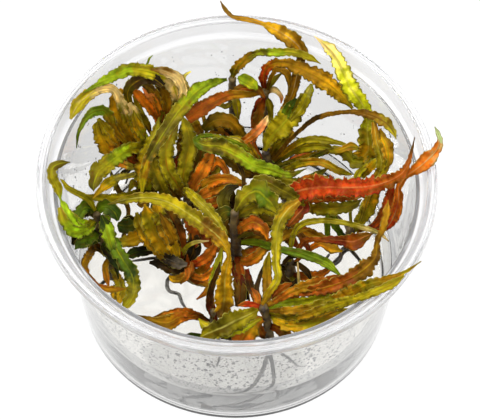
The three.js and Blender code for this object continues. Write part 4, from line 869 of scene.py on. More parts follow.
# Centre back plantlet: a crowded crown with seven long leaves and many young ones. The longest leaves
# the cup over the far rim, and the pale one bends like a swan's neck.
crown("centre_back", 166,
      [(9.5, 30, 12, 1.6), (9.5, 30.5, 18, 2.1), (9, 30.5, 25, 1.4), (8.5, 30.5, 29, 1.1)],
      [[(9.5, 30, 13, 0.7), (14, 27, 11, 0.5), (19, 26, 12, 0.3)],
       [(9.5, 30, 13, 0.7), (6, 25, 10, 0.5), (4, 20, 11, 0.3)],
       [(9.5, 30, 14, 0.7), (12, 35, 12, 0.4), (11, 38, 9, 0.3)]])
young_leaves("centre_back", [
    ("green_across", 0.2, 0.3, "yellow green", "leaf green, bright green, yellow green",
     [(10, 31.5, 21.5, 1.2), (15, 33, 23.5, 1.5), (19, 33.5, 26.5, 2.1), (23, 32.5, 28.5, 1.5),
      (25, 32, 29, 0.4)]),
    ("orange_blade", 0.4, 0.4, "beige", "orange, bright orange, salmon, orange",
     [(10.5, 29, 18.5, 0.9), (15, 30.5, 20, 3.4), (19.5, 32.5, 22, 4), (22.5, 33, 23.5, 2.2),
      (24, 32, 23.5, 0.4)]),
    ("yellow_centre", 0.3, 0.3, "pale yellow", "golden, yellow olive, golden",
     [(8.5, 31, 21, 1.5), (5.5, 29.5, 25.5, 2.8), (3.5, 30.5, 29, 3.4), (0.5, 32, 31.5, 2.8),
      (-2.5, 32.5, 32.5, 0.6)]),
    ("pink_orange", 0.3, 0.4, "beige", "salmon, orange, salmon, beige",
     [(9, 31, 22, 1.2), (6.5, 32.5, 25, 1.2), (4.5, 34.5, 28.5, 2.1), (6.5, 36, 33, 2.1),
      (8.5, 38, 36.5, 0.4)]),
    ("brown_bend", 0.5, 0.6, "golden", "dark brown, dark olive, golden brown, dark olive",
     [(7.5, 31.5, 20.5, 1.2), (4, 32.5, 25, 1.5), (1.5, 34, 30, 2.8), (-0.5, 35.5, 34.5, 3.4),
      (-3.5, 36, 37.5, 4.3), (-7.5, 35.5, 37.5, 4.3), (-10.5, 34.5, 34.5, 2.4)]),
    ("dark_low_bend", 0.3, 0.5, "brown", "dark brown, near black, dark brown",
     [(8, 30.5, 21, 0.9), (2.5, 33, 25, 1.5), (-2.5, 35.5, 30, 2.4), (-7.5, 37, 33, 2.7),
      (-11.5, 36.5, 33, 0.9)]),
    ("orange_low_bend", 0.4, 0.7, "golden", "rust, orange, rust, golden brown",
     [(8, 30.5, 20, 0.9), (4, 33.5, 25, 1.8), (-0.5, 36, 29, 2.7), (-5.5, 36, 32, 2.4),
      (-9.5, 34.5, 32, 0.6)]),
    ("yellow_band", 0.4, 0.5, "pale yellow", "olive, yellow olive, golden, pale yellow",
     [(8, 30, 22, 0.9), (5.5, 26, 28, 1.5), (3, 27.5, 33, 2.7), (0, 29, 36, 2.7),
      (-3.5, 29.5, 38, 0.9)]),
    ("brown_low", 0.4, 0.7, "golden", "dark brown, brown, dark olive",
     [(9, 30, 18.5, 1.2), (6, 26.5, 22, 2.4), (2, 25.5, 26, 3.6), (-2, 27, 29, 3.6),
      (-5.5, 28.5, 31, 1.2)]),
    ("olive_low_right", 0.4, 0.7, "yellow olive", "dark olive, olive, deep green, dark olive",
     [(10.5, 29.5, 18, 1.2), (14.5, 25.5, 21, 2.7), (19.5, 23, 23, 3.3), (24, 24.5, 25, 2.4),
      (28, 26.5, 27, 0.6)]),
    ("neck_base", 0.5, 0.9, "yellow green", "dark green, deep green, dark olive, olive, deep green",
     [(11, 30.5, 20, 0.9), (19, 28.5, 26, 1.2), (27.5, 29, 32, 1.5), (32.5, 26.5, 35, 2.7),
      (35.5, 22.5, 36.5, 3.3), (40, 22, 38, 2.7), (42.5, 24.5, 39.5, 0.9)]),
    ("olive_between", 0.4, 0.7, "yellow green", "dark olive, olive, yellow olive, dark olive",
     [(11, 30.5, 21, 0.9), (16, 32, 26, 1.8), (21, 31.5, 30, 2.7), (26.5, 30.5, 32, 2.4),
      (31, 28, 33, 0.9)]),
    ("heart_spur", 0.4, 0.7, "golden", "brown, olive, golden brown",
     [(9.5, 30.5, 24, 0.9), (11.5, 32, 29, 2.4), (14, 32, 33, 2.7), (17, 33.5, 36, 0.9)]),
    ("gold_blade", 0.2, 0.4, "pale yellow", "olive, golden, yellow olive",
     [(6.5, 28.5, 24, 0.9), (5, 27.5, 31, 2.4), (3, 29, 34, 2.4), (0.5, 30.5, 36, 1.5),
      (-2.5, 30.5, 37, 0.6)]),
    ("salmon_blade", 0.4, 0.5, "beige", "rust, orange, salmon, beige",
     [(0, 29.5, 33, 0.9), (2.5, 30, 36, 2.4), (5.5, 31.5, 38, 2.7), (8, 34.5, 39, 2.1),
      (9, 37, 39, 0.6)]),
    ("shadow_olive", 0.4, 0.7, "olive", "dark olive, deep green, dark green",
     [(13, 36.5, 34, 0.9), (14, 37.5, 38, 2.7), (15.5, 38.5, 42, 2.7), (17.5, 39.5, 45, 0.9)]),
    ("tall_edge", 0.3, 0.7, "pale yellow", "olive, yellow olive, yellow green",
     [(16, 36, 38, 0.9), (19, 37.5, 42, 2.7), (20.5, 39, 45.5, 3), (21.5, 40.5, 48, 2.4),
      (22, 41.5, 50, 0.9)]),
    ("olive_bridge", 0.3, 0.7, "yellow green", "olive, golden, golden brown, olive",
     [(28, 25, 38, 0.9), (31.5, 24.5, 40, 2.1), (34.5, 25, 41, 2.4), (37, 24, 41, 0.9)]),
])
leaf("over_far_rim", 0.7, 0.7, "beige", "dark brown",
     "golden brown, brown, golden brown, brown, golden brown, golden brown, golden, golden brown, brown",
     [(9.7, 32, 28.5, 1.2), (11.5, 35.5, 30, 1.2), (12.5, 39, 34, 2.1), (15, 41, 39.5, 2.7),
      (16.5, 43, 43.5, 2.7), (17.5, 45.5, 48, 2.7), (18.5, 47, 54, 2.4), (18.5, 48, 58.5, 3.3),
      (15.5, 49, 62.5, 4.5), (11, 52, 63, 3.6), (6.5, 54, 63.5, 1.2), (2, 55, 64, 1.5),
      (-2, 55.5, 64.5, 1.2), (-4.5, 57.5, 65.5, 1.1), (-6, 59.5, 67, 0.3)])
leaf("pale_swan_neck", 0.8, 0.9, "pale yellow", "dark olive",
     "olive, golden, yellow olive, golden, olive, yellow green, yellow green, pale yellow, beige",
     [(11.5, 29.3, 23, 0.9), (18.5, 30, 26, 1.2), (26, 30, 30.5, 1.2), (30.5, 29.5, 33, 1.5),
      (33.5, 26, 34.5, 3), (37, 23.5, 37, 3.6), (39.5, 24, 41, 5.4), (39, 27, 46, 5.1),
      (39, 30, 49.5, 2.7), (37, 32, 54, 4.2), (33.5, 34.5, 58.5, 4.8), (31, 39.5, 60.5, 4.2),
      (28, 45, 62, 3.3), (22.5, 50, 63, 0.3)])
leaf("tall_olive", 1, 1, "yellow green", "dark olive",
     "olive, yellow olive, yellow olive, olive, pale yellow",
     [(8.2, 30.5, 29.6, 1.2), (10, 33, 33, 4.3), (13, 35, 36, 6.7), (16.5, 37.5, 39.5, 5.8),
      (19.5, 39.5, 44, 3.6), (21, 40, 47.5, 2.1), (22, 41.5, 50, 0.3)])
leaf("thin_brown_arch", 0.5, 0.8, "brown", "dark brown",
     "brown, brown, dark brown, brown, brown, brown, olive",
     [(10.8, 29.5, 26, 1.2), (14.5, 31, 32, 1.2), (18.5, 31.5, 39, 1.2), (24, 32, 46, 1.5),
      (32.5, 29.5, 53, 1.2), (39, 26, 57, 2.4), (43.5, 22.5, 58.5, 3.3), (46, 19, 59, 1.8),
      (47, 16, 59, 0.3)])
leaf("olive_across", 0.5, 0.5, "yellow olive", "dark olive",
     "golden brown, golden, olive, olive, olive",
     [(11.2, 31.3, 23, 1.2), (15.5, 31.5, 29, 1.8), (20, 30, 36, 2.1), (25.5, 28.5, 39, 2.4),
      (31, 26.5, 40.5, 1.2), (34, 25.5, 40.5, 0.3)])
leaf("snake_olive", 0.3, 0.4, "yellow green", "dark olive",
     "brown, olive, golden brown, olive",
     [(11.8, 28.5, 21, 0.9), (15.5, 26.5, 26, 1.8), (20, 24, 33, 2.4), (25.5, 22, 36.5, 2.4),
      (30.5, 19.5, 36, 2.1), (33.5, 19.5, 34.5, 1.2), (35, 19.5, 34, 0.3)])
leaf("bright_green_turn", 0.6, 0.6, "yellow green", "deep green",
     "olive, leaf green, olive, deep green, dark olive, olive, leaf green, leaf green, dark olive",
     [(7, 29.4, 27, 0.9), (3, 28, 34.5, 1.2), (-4, 28.5, 39, 1.2), (-10, 28, 41, 1.2),
      (-12.5, 25, 43, 1.8), (-10, 22.5, 44, 3.6), (-5.5, 22.5, 43.5, 5.1), (0, 20.5, 42.5, 4.2),
      (4.5, 18, 41, 3.9), (10, 17.5, 39, 3.3), (15.5, 17, 37, 2.1), (21, 20, 36, 0.3)])

# Centre right plantlet: its long red leaf, ruffled at the base and salmon towards the tip, reaches
# over the right-hand rim. A broad olive leaf lies beside it.
crown("centre_right", 148,
      [(15, 13.5, 12, 1.4), (15, 13.5, 18, 1.8), (15, 13, 24, 1.5), (15, 12.5, 32, 1.2)],
      [[(15, 13.5, 13, 0.7), (20, 10, 11, 0.5), (22, 5, 12, 0.3)],
       [(15, 13.5, 13, 0.7), (11, 17, 10.5, 0.5), (9, 21.5, 9, 0.3)]])
young_leaves("centre_right", [
    ("orange_under", 0.5, 0.6, "golden", "rust, orange, golden brown",
     [(15.5, 12.5, 29, 1.2), (17.5, 15, 33, 2.1), (21, 17, 34.5, 2.7), (24.5, 16.5, 36, 2.4),
      (27.5, 16.5, 37, 0.6)]),
    ("dark_spurs", 0.3, 0.6, "rust", "dark red, brown, dark red",
     [(15, 13, 21, 0.9), (17.5, 6.5, 25, 1.8), (20.5, 0, 27, 2.1), (23, -5, 27, 0.6)]),
    ("red_fold", 0.5, 0.9, "salmon", "dark red, red, dark red, rust",
     [(15.5, 12, 27, 0.9), (18, 9, 33, 2.7), (20, 6, 36, 3.9), (18, 3, 36, 3.6), (15.5, 0.5, 34, 0.9)]),
    ("orange_wisp", 0.3, 0.6, "golden", "rust, orange, golden brown, orange",
     [(15.5, 13, 19, 0.9), (19.5, 5.5, 25, 2.4), (24, 1, 28, 3), (28.5, -2, 29, 2.4),
      (31.5, -4, 28, 0.6)]),
    ("olive_floor", 0.4, 0.7, "golden", "dark olive, olive, dark olive",
     [(15, 13, 20, 0.9), (12, 7.5, 25, 2.4), (8, 3, 29, 3.6), (3.5, 0, 31, 2.4), (0.5, -2, 31, 0.6)]),
    ("rust_step", 0.4, 0.7, "rust", "dark red, rust, brown, dark red",
     [(15, 12.5, 21, 0.9), (14, 4.5, 26, 2.7), (16.5, -0.5, 28, 3), (19.5, -3.5, 28, 0.9)]),
    ("salmon_edge", 0.5, 0.9, "salmon", "rust, orange, rust, orange",
     [(15, 12, 27, 0.9), (20.5, 8.5, 36, 2.1), (28, 6.5, 41, 2.7), (34.5, 4.5, 45, 2.1),
      (39, 3.5, 48, 0.6)]),
])
leaf("red_over_right_rim", 1.2, 1.2, "salmon", "dark red",
     "red, red, red, red, red, red, rust, rust, dark brown",
     [(15.2, 12.3, 32.7, 1.5), (19.5, 9, 41, 6), (25.5, 7.5, 45, 6.3), (32, 5, 49, 5.3),
      (39, 3, 53, 5), (44.5, 2, 57.5, 3.8), (48.5, 2.5, 61.5, 2.6), (50.5, 5.5, 64, 1.2),
      (52, 11.5, 67, 0.3)])
leaf("olive_right", 0.6, 0.8, "golden", "dark green",
     "olive, golden brown, olive, olive, dark olive",
     [(16.7, 11.1, 27, 1.2), (20.5, 8, 33, 2.4), (25.5, 5, 37, 3.6), (31, 3.5, 40, 3.6),
      (35, 4.5, 40.5, 2.4), (37.5, 6.5, 40.5, 0.3)])

# Centre front plantlet: low in the gel, with a thin bowed leaf, a red one and short young leaves, some
# of them rust and orange and some nearly black.
crown("centre_front", 181,
      [(16.5, -6, 12, 1.6), (16.5, -6, 18, 2), (16.5, -6, 24.5, 1.2)],
      [[(16.5, -6, 13, 0.7), (20, -10, 11, 0.5), (22, -15, 12, 0.3)],
       [(16.5, -6, 13, 0.7), (12, -9, 11, 0.5), (9, -13, 9.5, 0.3)]])
young_leaves("centre_front", [
    ("orange_short", 0.3, 0.6, "golden", "rust, orange, golden",
     [(17, -6, 22, 1.2), (20.5, -3.5, 24.5, 1.2), (25, -2, 28.5, 1.8), (29, -4.5, 30, 3),
      (32, -5.5, 30, 0.6)]),
    ("thin_spike", 0.1, 0.1, "beige", "olive, yellow olive, beige",
     [(17, -7, 18.5, 1.5), (18.5, -12.5, 20, 1.5), (19.5, -16.5, 24, 1.2), (19, -16.5, 31, 0.9),
      (18.5, -14, 37, 0.4)]),
    ("black_cup", 0.3, 0.6, "brown", "near black, dark brown, near black",
     [(16.5, -6, 19.5, 0.9), (14, -7.5, 23, 2.1), (14, -11, 23, 2.7), (17, -12, 21, 2.1),
      (19, -9.5, 21, 0.6)]),
    ("black_hook", 0.2, 0.4, "brown", "near black, dark brown, near black",
     [(17, -6, 23, 0.9), (19, -8, 26, 1.5), (21.5, -10.5, 26, 1.8), (23, -12.5, 24, 0.6)]),
    ("black_claw", 0.2, 0.4, "brown", "near black, dark brown, near black",
     [(16, -6, 23, 0.8), (14.5, -8.5, 27, 1.2), (16, -8, 30, 1.2), (18.5, -8.5, 31, 0.5)]),
    ("rust_low", 0.4, 0.7, "orange", "dark red, rust, orange, rust",
     [(17, -6.5, 18, 0.9), (20, -9.5, 22, 2.4), (23.5, -11.5, 25, 3.3), (27, -11, 27, 1.8),
      (29, -10, 28, 0.6)]),
])
leaf("bowed_olive", 0.3, 0.4, "pale yellow", "dark olive",
     "olive, yellow olive, olive, olive, beige",
     [(16.2, -6.4, 25.1, 1.2), (16.5, -4.5, 29, 1.2), (17, -3.5, 34, 1.5), (18.5, -3.5, 40, 1.8),
      (21.5, -3.5, 43, 1.8), (26.5, -3.5, 44, 1.5), (33, -5, 45, 1.5), (38.5, -6, 44, 1.5),
      (42.5, -7, 43, 1.2), (45.5, -8.5, 41, 0.3)])
leaf("red_right", 0.6, 0.7, "salmon", "dark red",
     "dark red, rust, rust, dark red, rust, brown",
     [(18, -5, 25.2, 1.2), (19, -3.5, 28, 1.5), (21, -2.5, 31, 1.8), (25, -4, 34, 1.5),
      (31.5, -6, 37, 2.7), (35, -7, 38, 5.1), (38, -6, 39, 3), (41, -4.5, 39, 0.3)])

# Right plantlet: looped roots on the gel, a tall olive leaf, and an orange leaf that bends down over
# the right-hand rim and ends in a thin grey-green tip.
crown("right", 123,
      [(34.5, 6, 12, 1.4), (34.5, 6, 18, 1.6), (34.8, 6.5, 24, 1.1)],
      [[(34.5, 6, 14.5, 0.7), (32.4, 4, 15, 0.6), (31.8, 0.5, 15, 0.6), (29.5, -1.5, 15, 0.5),
        (27.5, 0, 15, 0.5), (28.5, 2.5, 14.5, 0.4)],
       [(34.5, 6, 13, 0.7), (31, 2, 11.5, 0.5), (27.5, -2.5, 13.5, 0.5), (25, -6.5, 14, 0.3)],
       [(34.5, 6, 13, 0.7), (38, 2, 11, 0.5), (40, -3, 12, 0.3)]])
young_leaves("right", [
    ("root_loop", 0.1, 0.1, "grey brown", "dark brown, grey brown, dark brown",
     [(34.5, 7.5, 18.4, 0.9), (33.3, 11, 18.8, 0.9), (30.5, 13.7, 19.5, 0.9), (29.3, 12.2, 18.4, 0.5)]),
    ("small_yellow", 0.2, 0.3, "pale yellow", "olive, yellow green, yellow olive",
     [(35, 6.5, 23, 0.9), (34.5, 11.5, 29, 0.9), (35.5, 14.5, 35, 1.2), (36.5, 16.5, 38.5, 2.1),
      (38.5, 18, 40.5, 1.8), (40.5, 19.5, 41, 0.4)]),
    ("green_stem", 0.2, 0.2, "leaf green", "dark green, deep green, leaf green",
     [(34.5, 6, 19, 1.2), (31, 3, 21.5, 1.2), (28, 2.5, 25, 1.5), (27.5, 5, 30, 1.8),
      (27.5, 7, 33, 0.4)]),
    ("green_wisp", 0.3, 0.6, "leaf green", "dark green, deep green, olive",
     [(35, 6, 18, 0.9), (31.5, 5.5, 23, 1.8), (29.5, 7, 28, 2.7), (29, 8.5, 32, 1.5),
      (30, 10, 34, 0.5)]),
    ("olive_wisp", 0.3, 0.6, "pale yellow", "olive, yellow green, olive",
     [(35.5, 6.5, 21, 0.9), (37.5, 7, 27, 2.4), (39, 9, 32, 3), (41, 10.5, 36, 2.4),
      (43.5, 12, 38, 0.6)]),
    ("tall_inner", 0.4, 0.8, "pale yellow", "olive, golden, olive, golden brown",
     [(37.5, 6, 29, 0.9), (40, 9, 41, 1.8), (43, 13.5, 48.5, 2.7), (41.5, 19, 53, 2.7),
      (40.5, 24, 56, 1.5)]),
    ("red_lower", 0.4, 0.7, "orange", "rust, red, rust, red",
     [(37, 6.5, 23, 0.9), (41, 1, 34, 1.8), (44.5, 1, 43, 3.3), (45.5, 3.5, 48, 2.7),
      (46.5, 4.5, 52, 0.9)]),
    ("olive_gap", 0.4, 0.7, "yellow green", "olive, golden, yellow olive",
     [(38, 17, 36, 0.9), (39.5, 17.5, 40, 2.4), (41.5, 18, 43, 2.4), (43, 19.5, 44, 0.6)]),
])
leaf("right_tall", 0.5, 0.6, "yellow green", "dark olive",
     "yellow olive, yellow olive, golden, yellow olive, golden brown, golden",
     [(35.6, 6.2, 24.8, 1.2), (38, 6.5, 30, 3.6), (40, 8, 35, 4.2), (41.5, 9.5, 42, 3.3),
      (44, 12.5, 47.5, 2.1), (45, 15, 50.5, 3), (44.5, 17.5, 52.5, 3.6), (43, 20.5, 53.5, 2.4),
      (42.5, 23, 54, 0.6)])
leaf("orange_over_right_rim", 0.6, 0.6, "beige", "rust",
     "golden brown, rust, red, red, orange, orange, orange, orange, grey green",
     [(36.7, 6.3, 22.5, 0.9), (41, 3.5, 29, 0.9), (45, -1, 37, 1.8), (47, -1.5, 45, 3.3),
      (48, 1, 50, 2.7), (48, 2.5, 54, 1.8), (50, 3.5, 58.5, 1.5), (52.5, 3.5, 62, 2.9),
      (55.5, 5.5, 63.5, 4.4), (58.5, 8.5, 65, 2.6), (59.5, 11.5, 65.5, 1.5), (59, 14, 65.5, 1.2),
      (58, 16, 66, 0.3)])

# Middle plantlet: a dark stem with a broad curled olive leaf, an orange one that lies across it and
# a deep green one, and dark young leaves in its heart.
crown("centre", 160,
      [(0, 0, 12, 1.4), (0, 0, 18, 1.8), (0, 0, 25, 1.5), (-0.5, 0, 33, 1.4), (-0.5, 1, 41, 1.2)],
      [[(0, 0, 13, 0.7), (-5, -3, 11, 0.5), (-9, -8, 11.5, 0.3)],
       [(0, 0, 13, 0.7), (3, 5, 10.5, 0.5), (8, 9, 11, 0.3)]])
young_leaves("centre", [
    ("heart_left", 1, 0.8, "olive", "dark green, dark olive, olive",
     [(-1, 1.5, 39.5, 1.2), (-3, 2, 39, 3.9), (-5, 2, 36, 4.2), (-7, 1, 33, 0.9)]),
    ("brown_curl", 0.7, 0.6, "rust", "dark brown, rust, brown",
     [(-0.3, 0.5, 32, 1.5), (1.5, 2.5, 35, 4.2), (4, 1, 36, 6), (6.5, -1, 35, 4.2),
      (8.5, -3, 33, 0.6)]),
    ("red_blade", 0.4, 0.4, "rust", "dark red, rust, brown",
     [(0, -0.5, 19, 1.2), (1, -5, 21, 2.1), (2, -10.5, 22, 2.7), (3, -14, 21, 2.1),
      (4.5, -17, 19, 0.6)]),
    ("dark_stalk", 0.1, 0.2, "brown", "near black, dark brown, near black",
     [(-0.5, 1.5, 39, 0.8), (1.5, 7, 40, 0.9), (2, 15, 38, 1.2), (0.5, 20.5, 37, 1.2),
      (-2, 25, 36, 0.5)]),
    ("olive_wing", 0.5, 0.9, "golden", "dark olive, olive, yellow olive, olive",
     [(-0.5, 0.5, 38, 1.2), (3, 1.5, 41, 3.6), (7, 2.5, 42, 5.1), (12, 2, 41, 4.2), (16, 1, 38, 1.2)]),
    ("olive_back_wing", 0.5, 0.9, "yellow olive", "dark olive, olive, dark olive, olive",
     [(-0.5, 0.5, 36, 1.2), (3, 8, 39, 2.4), (7.5, 11, 42, 3.9), (13, 8.5, 42, 4.2),
      (18, 7, 39, 3), (20.5, 6, 37, 0.6)]),
    ("orange_heart", 0.4, 0.8, "golden", "rust, orange, rust, bright orange",
     [(-0.5, 0, 30, 0.9), (2, -1.5, 36, 3), (5, -1.5, 39, 3.9), (8, -3.5, 39, 3.3),
      (9.5, -5.5, 36, 0.9)]),
    ("red_floor", 0.4, 0.7, "rust", "dark red, rust, dark red, brown",
     [(0.5, 0.5, 20, 0.9), (-3, 0, 24, 2.4), (-6.5, 1, 27, 3.3), (-9, 3, 29, 2.7), (-11, 7, 30, 0.9)]),
    ("dark_blade", 0.3, 0.5, "dark red", "near black, dark red, near black",
     [(0.5, -0.5, 17.5, 0.9), (-0.5, -6, 20, 2.1), (2, -12.5, 22, 2.7), (4, -17, 20, 0.9)]),
    ("orange_floor", 0.3, 0.6, "golden", "brown, orange, golden brown",
     [(0.5, -0.5, 18, 0.9), (3, -6, 24, 2.7), (6, -7, 28, 3.3), (9, -4.5, 30, 2.4),
      (11.5, -2, 31, 0.6)]),
    ("rust_triangle", 0.4, 0.6, "rust", "dark red, rust, dark red",
     [(-0.5, 0, 20, 0.9), (-4, -1.5, 24, 2.1), (-7, -2, 27, 3.6), (-9.5, -1, 29, 3.3),
      (-11.5, 1, 30, 0.9)]),
    ("wedge_dark", 0.3, 0.6, "rust", "dark brown, dark red, brown, dark brown",
     [(0.5, -1.5, 18, 0.9), (1, -7, 21, 2.4), (1.5, -13, 22, 3.6), (1.5, -17, 21.5, 3.6),
      (0.5, -19.5, 20, 0.9)]),
    ("brown_ledge", 0.3, 0.7, "golden", "dark olive, brown, golden brown, brown",
     [(0.5, 0, 24, 0.9), (4.5, -1, 28, 2.7), (7.5, -1.5, 30, 2.4), (10, -1, 31, 0.6)]),
    ("black_hollow", 0.3, 0.6, "dark olive", "near black, dark olive, near black",
     [(-0.5, 1.5, 30, 0.9), (-2, 4, 33.5, 2.4), (-4, 7.5, 36, 3.6), (-2.5, 10.5, 38, 3),
      (0.5, 12, 38, 0.9)]),
    ("olive_stub", 0.3, 0.6, "olive", "dark olive, brown, dark olive",
     [(0, -0.5, 27, 0.9), (-2.5, 0.5, 30.5, 2.4), (-3.5, 2.5, 33, 2.4), (-3, 6, 34, 0.6)]),
    ("brown_shade", 0.4, 0.6, "brown", "dark brown, dark olive, brown",
     [(0.5, 0, 22, 0.9), (3.5, 2.5, 27, 3), (8, 4, 31, 4.2), (12, 2.5, 33, 3.3), (15, 0.5, 33, 0.9)]),
    # dark_gap_left fills a gap low behind other leaves; its near-black tones are painted shade.
    ("dark_gap_left", 0.3, 0.5, "brown", "near black, dark brown, dark olive",
     [(-0.5, 13.5, 20, 0.9), (-1, 14.5, 24, 2.4), (-1.5, 16, 27, 2.1), (-2.5, 17.5, 28, 0.6)]),
])
leaf("olive_heart", 1, 1, "yellow green", "dark olive",
     "dark olive, olive, deep green, olive",
     [(-0.3, 0.8, 41.6, 1.2), (2.5, 3.5, 45, 5.1), (6, 5, 46, 6.6), (9.5, 2.5, 45, 5.7),
      (12.5, 0, 42, 1.2)])
leaf("orange_diagonal", 0.6, 0.7, "golden", "dark brown",
     "golden brown, rust, orange, golden brown, golden brown",
     [(1.9, -1.2, 22.5, 1.2), (4, -4.5, 25.5, 3.3), (8, -3.5, 28, 3.6), (13, -1.5, 30, 2.7),
      (16.5, 0, 31, 2.7), (22, 0.5, 32.5, 0.3)])
leaf("deep_green", 0.3, 0.4, "leaf green", "dark green",
     "leaf green, deep green, deep green, leaf green",
     [(1.7, -1, 27, 1.2), (6.5, -3, 30, 2.1), (13.5, -6.5, 32, 2.1), (21, -8.5, 32.5, 2.7),
      (27, -11.5, 33, 2.7), (32, -16.5, 33, 0.6)])

# Front plantlet: an upright stem by the near wall, with pale roots that show through the plastic. Its
# crisped leaves fan out both ways, two of them along the wall.
crown("front", 127,
      [(10.5, -29, 12, 1.3), (10.5, -29, 18, 1.5), (10, -28.5, 24, 1.3), (9.5, -28.5, 30, 1.2),
       (8.5, -28.5, 35, 1.3)],
      [[(10.5, -29, 13, 0.7), (8, -37, 9, 0.6), (4, -43, 9, 0.6), (-1, -44.2, 7, 0.6),
        (-6, -44, 5, 0.4)],
       [(10.5, -29, 13, 0.7), (12, -38, 6, 0.5), (9, -43.2, 7.5, 0.4), (4.5, -44.2, 5, 0.4),
        (0.5, -44.2, 3.2, 0.3)],
       [(10.5, -29, 14, 0.7), (15, -31, 12, 0.5), (19, -35, 12.5, 0.3)]], (0, 1, 2))
young_leaves("front", [
    ("green_crisp", 1, 1, "yellow green", "leaf green, yellow green, olive",
     [(9.5, -28, 31, 1.2), (12, -26.5, 33.5, 2.4), (15.5, -26.5, 35, 2.7), (20.5, -27.5, 37, 2.4),
      (25.5, -27.5, 39.5, 2.4), (32.5, -26, 42.5, 2.4), (34.5, -25, 43.5, 0.4)]),
    ("orange_front", 0.6, 0.5, "golden", "orange, golden, orange, rust",
     [(9, -28.8, 29, 1.5), (6, -30, 28.5, 4.2), (4, -32, 27, 6.5), (2, -34, 24.5, 5.9),
      (0.5, -35.5, 22, 1.5)]),
    ("brown_stalk", 0.3, 0.5, "golden", "brown, golden brown, olive",
     [(9.5, -27.7, 31, 1.5), (9.5, -23.5, 33, 2.4), (9.5, -19, 35, 2.7), (9.5, -15.5, 38, 2.4),
      (10, -13, 41, 0.6)]),
    ("orange_second", 0.5, 0.9, "golden", "rust, orange, golden brown, orange, rust",
     [(10, -28, 35, 0.9), (14.5, -27, 39, 2.1), (19, -26, 42, 3), (24, -25.5, 44, 3.6),
      (28.5, -24.5, 45, 2.4), (31, -23, 45, 0.6)]),
    ("brown_between", 0.4, 0.8, "golden", "brown, dark olive, brown, golden brown",
     [(10.5, -28.5, 31, 0.9), (14, -31, 34, 2.4), (18, -32, 36, 3.3), (23, -31.5, 37, 2.7),
      (28.5, -30, 38, 0.6)]),
    ("red_tip", 0.4, 0.7, "orange", "orange, red, bright red, rust",
     [(9, -28.5, 32.5, 0.9), (6.5, -28, 35, 1.5), (3.5, -27.5, 35, 1.8), (1, -27.5, 34, 0.6)]),
    ("orange_tip", 0.3, 0.6, "golden", "golden, orange, rust",
     [(9, -28.5, 31, 0.9), (7, -27, 34, 1.8), (6.5, -24.5, 35, 2.1), (5, -22, 35, 0.6)]),
    ("black_stalk", 0.1, 0.2, "brown", "near black, dark brown, near black",
     [(9.5, -28.5, 30, 0.9), (8, -23.5, 30, 1.2), (6.5, -19, 29, 1.5), (7.5, -14.5, 30, 1.2),
      (9, -11, 32, 0.6)]),
    ("red_foot", 0.4, 0.7, "golden", "dark red, rust, brown, rust",
     [(10, -29, 24, 0.9), (12.5, -30, 26, 2.7), (15, -32, 26, 3.6), (17.5, -32.5, 24, 1.2)]),
    ("dark_foot", 0.3, 0.6, "brown", "dark brown, near black, dark brown",
     [(10, -29, 20, 0.9), (5.5, -30, 22, 2.1), (0.5, -31, 22, 2.7), (-4, -31, 21, 0.9)]),
    ("dark_curl", 0.3, 0.7, "rust", "dark red, rust, dark brown, dark red",
     [(9, -28.5, 29, 0.9), (6.5, -22, 28, 1.8), (4.5, -16, 27, 2.4), (3.5, -10, 26, 1.2)]),
    ("yellow_frill", 0.5, 1, "pale yellow", "yellow olive, yellow green, olive, yellow olive",
     [(8, -30, 31, 0.9), (2, -35.5, 34, 2.4), (-4, -36.5, 33, 3), (-8.5, -33.5, 32, 2.4),
      (-10.5, -30.5, 31, 0.6)]),
    ("rust_foot", 0.3, 0.6, "golden", "dark brown, rust, golden brown",
     [(10, -29, 18, 0.9), (8.5, -30, 22, 2.4), (7, -28.5, 25, 2.1), (6, -26, 26, 0.6)]),
    ("long_shadow", 0.5, 1, "golden", "olive, golden brown, olive, yellow olive, olive",
     [(10, -28.5, 32, 0.9), (19, -35, 41, 2.1), (30, -37.5, 53, 2.7), (35.5, -39.5, 59.5, 2.1),
      (40.5, -39.5, 63.5, 2.1), (45, -37.5, 64.5, 2.4), (48.5, -35, 65, 0.6)]),
    ("wall_shadow", 0.4, 0.9, "golden", "dark olive, olive, golden, olive",
     [(10.5, -28, 30, 0.9), (16.5, -34.5, 38, 2.1), (25, -35.5, 45, 3), (32, -36, 51, 2.4),
      (36.5, -36, 53, 0.6)]),
    ("dark_foot", 0.3, 0.5, "deep green", "dark green, dark green, near black",
     [(-8, -34.5, 27, 0.9), (-10.5, -35, 28, 2.1), (-12.5, -35, 28.5, 2.1), (-15, -35, 29, 0.3)]),
    ("rust_gap_front", 0.4, 0.7, "salmon", "dark red, rust, orange, rust",
     [(11, -19, 24, 0.9), (12.5, -18.5, 27, 2.4), (15, -17.5, 29, 2.1), (17, -17, 30, 0.6)]),
])
leaf("long_s_leaf", 1, 1, "golden", "brown",
     "golden brown, rust, rust, rust, brown, brown, golden brown, golden brown",
     [(9.9, -27.8, 35.6, 1.2), (15.5, -26.5, 39, 2.4), (21.5, -27, 42, 2.6), (27.5, -27, 45, 4.1),
      (33, -26, 47.5, 3.8), (37.5, -23.5, 49, 4.7), (41, -19.5, 50, 2.6), (41.5, -15.5, 52, 1.5),
      (43, -12.5, 54.5, 1.8), (44, -8.5, 56.5, 2.1), (44.5, -4.5, 57.5, 0.3)])
leaf("long_front", 0.9, 0.9, "golden", "dark olive",
     "brown, golden brown, olive, golden brown, olive, golden brown, olive",
     [(10.3, -29.3, 34.5, 0.9), (15, -32.5, 40, 2.1), (21, -33.5, 43, 2.6), (28, -33.5, 47, 3.5),
      (33.5, -34, 52.5, 4.4), (37, -35, 58.5, 3.4), (40, -36, 62.2, 2.8), (44.5, -35, 63, 2.3),
      (49, -33, 64, 0.9), (53.5, -30, 65, 0.3)])
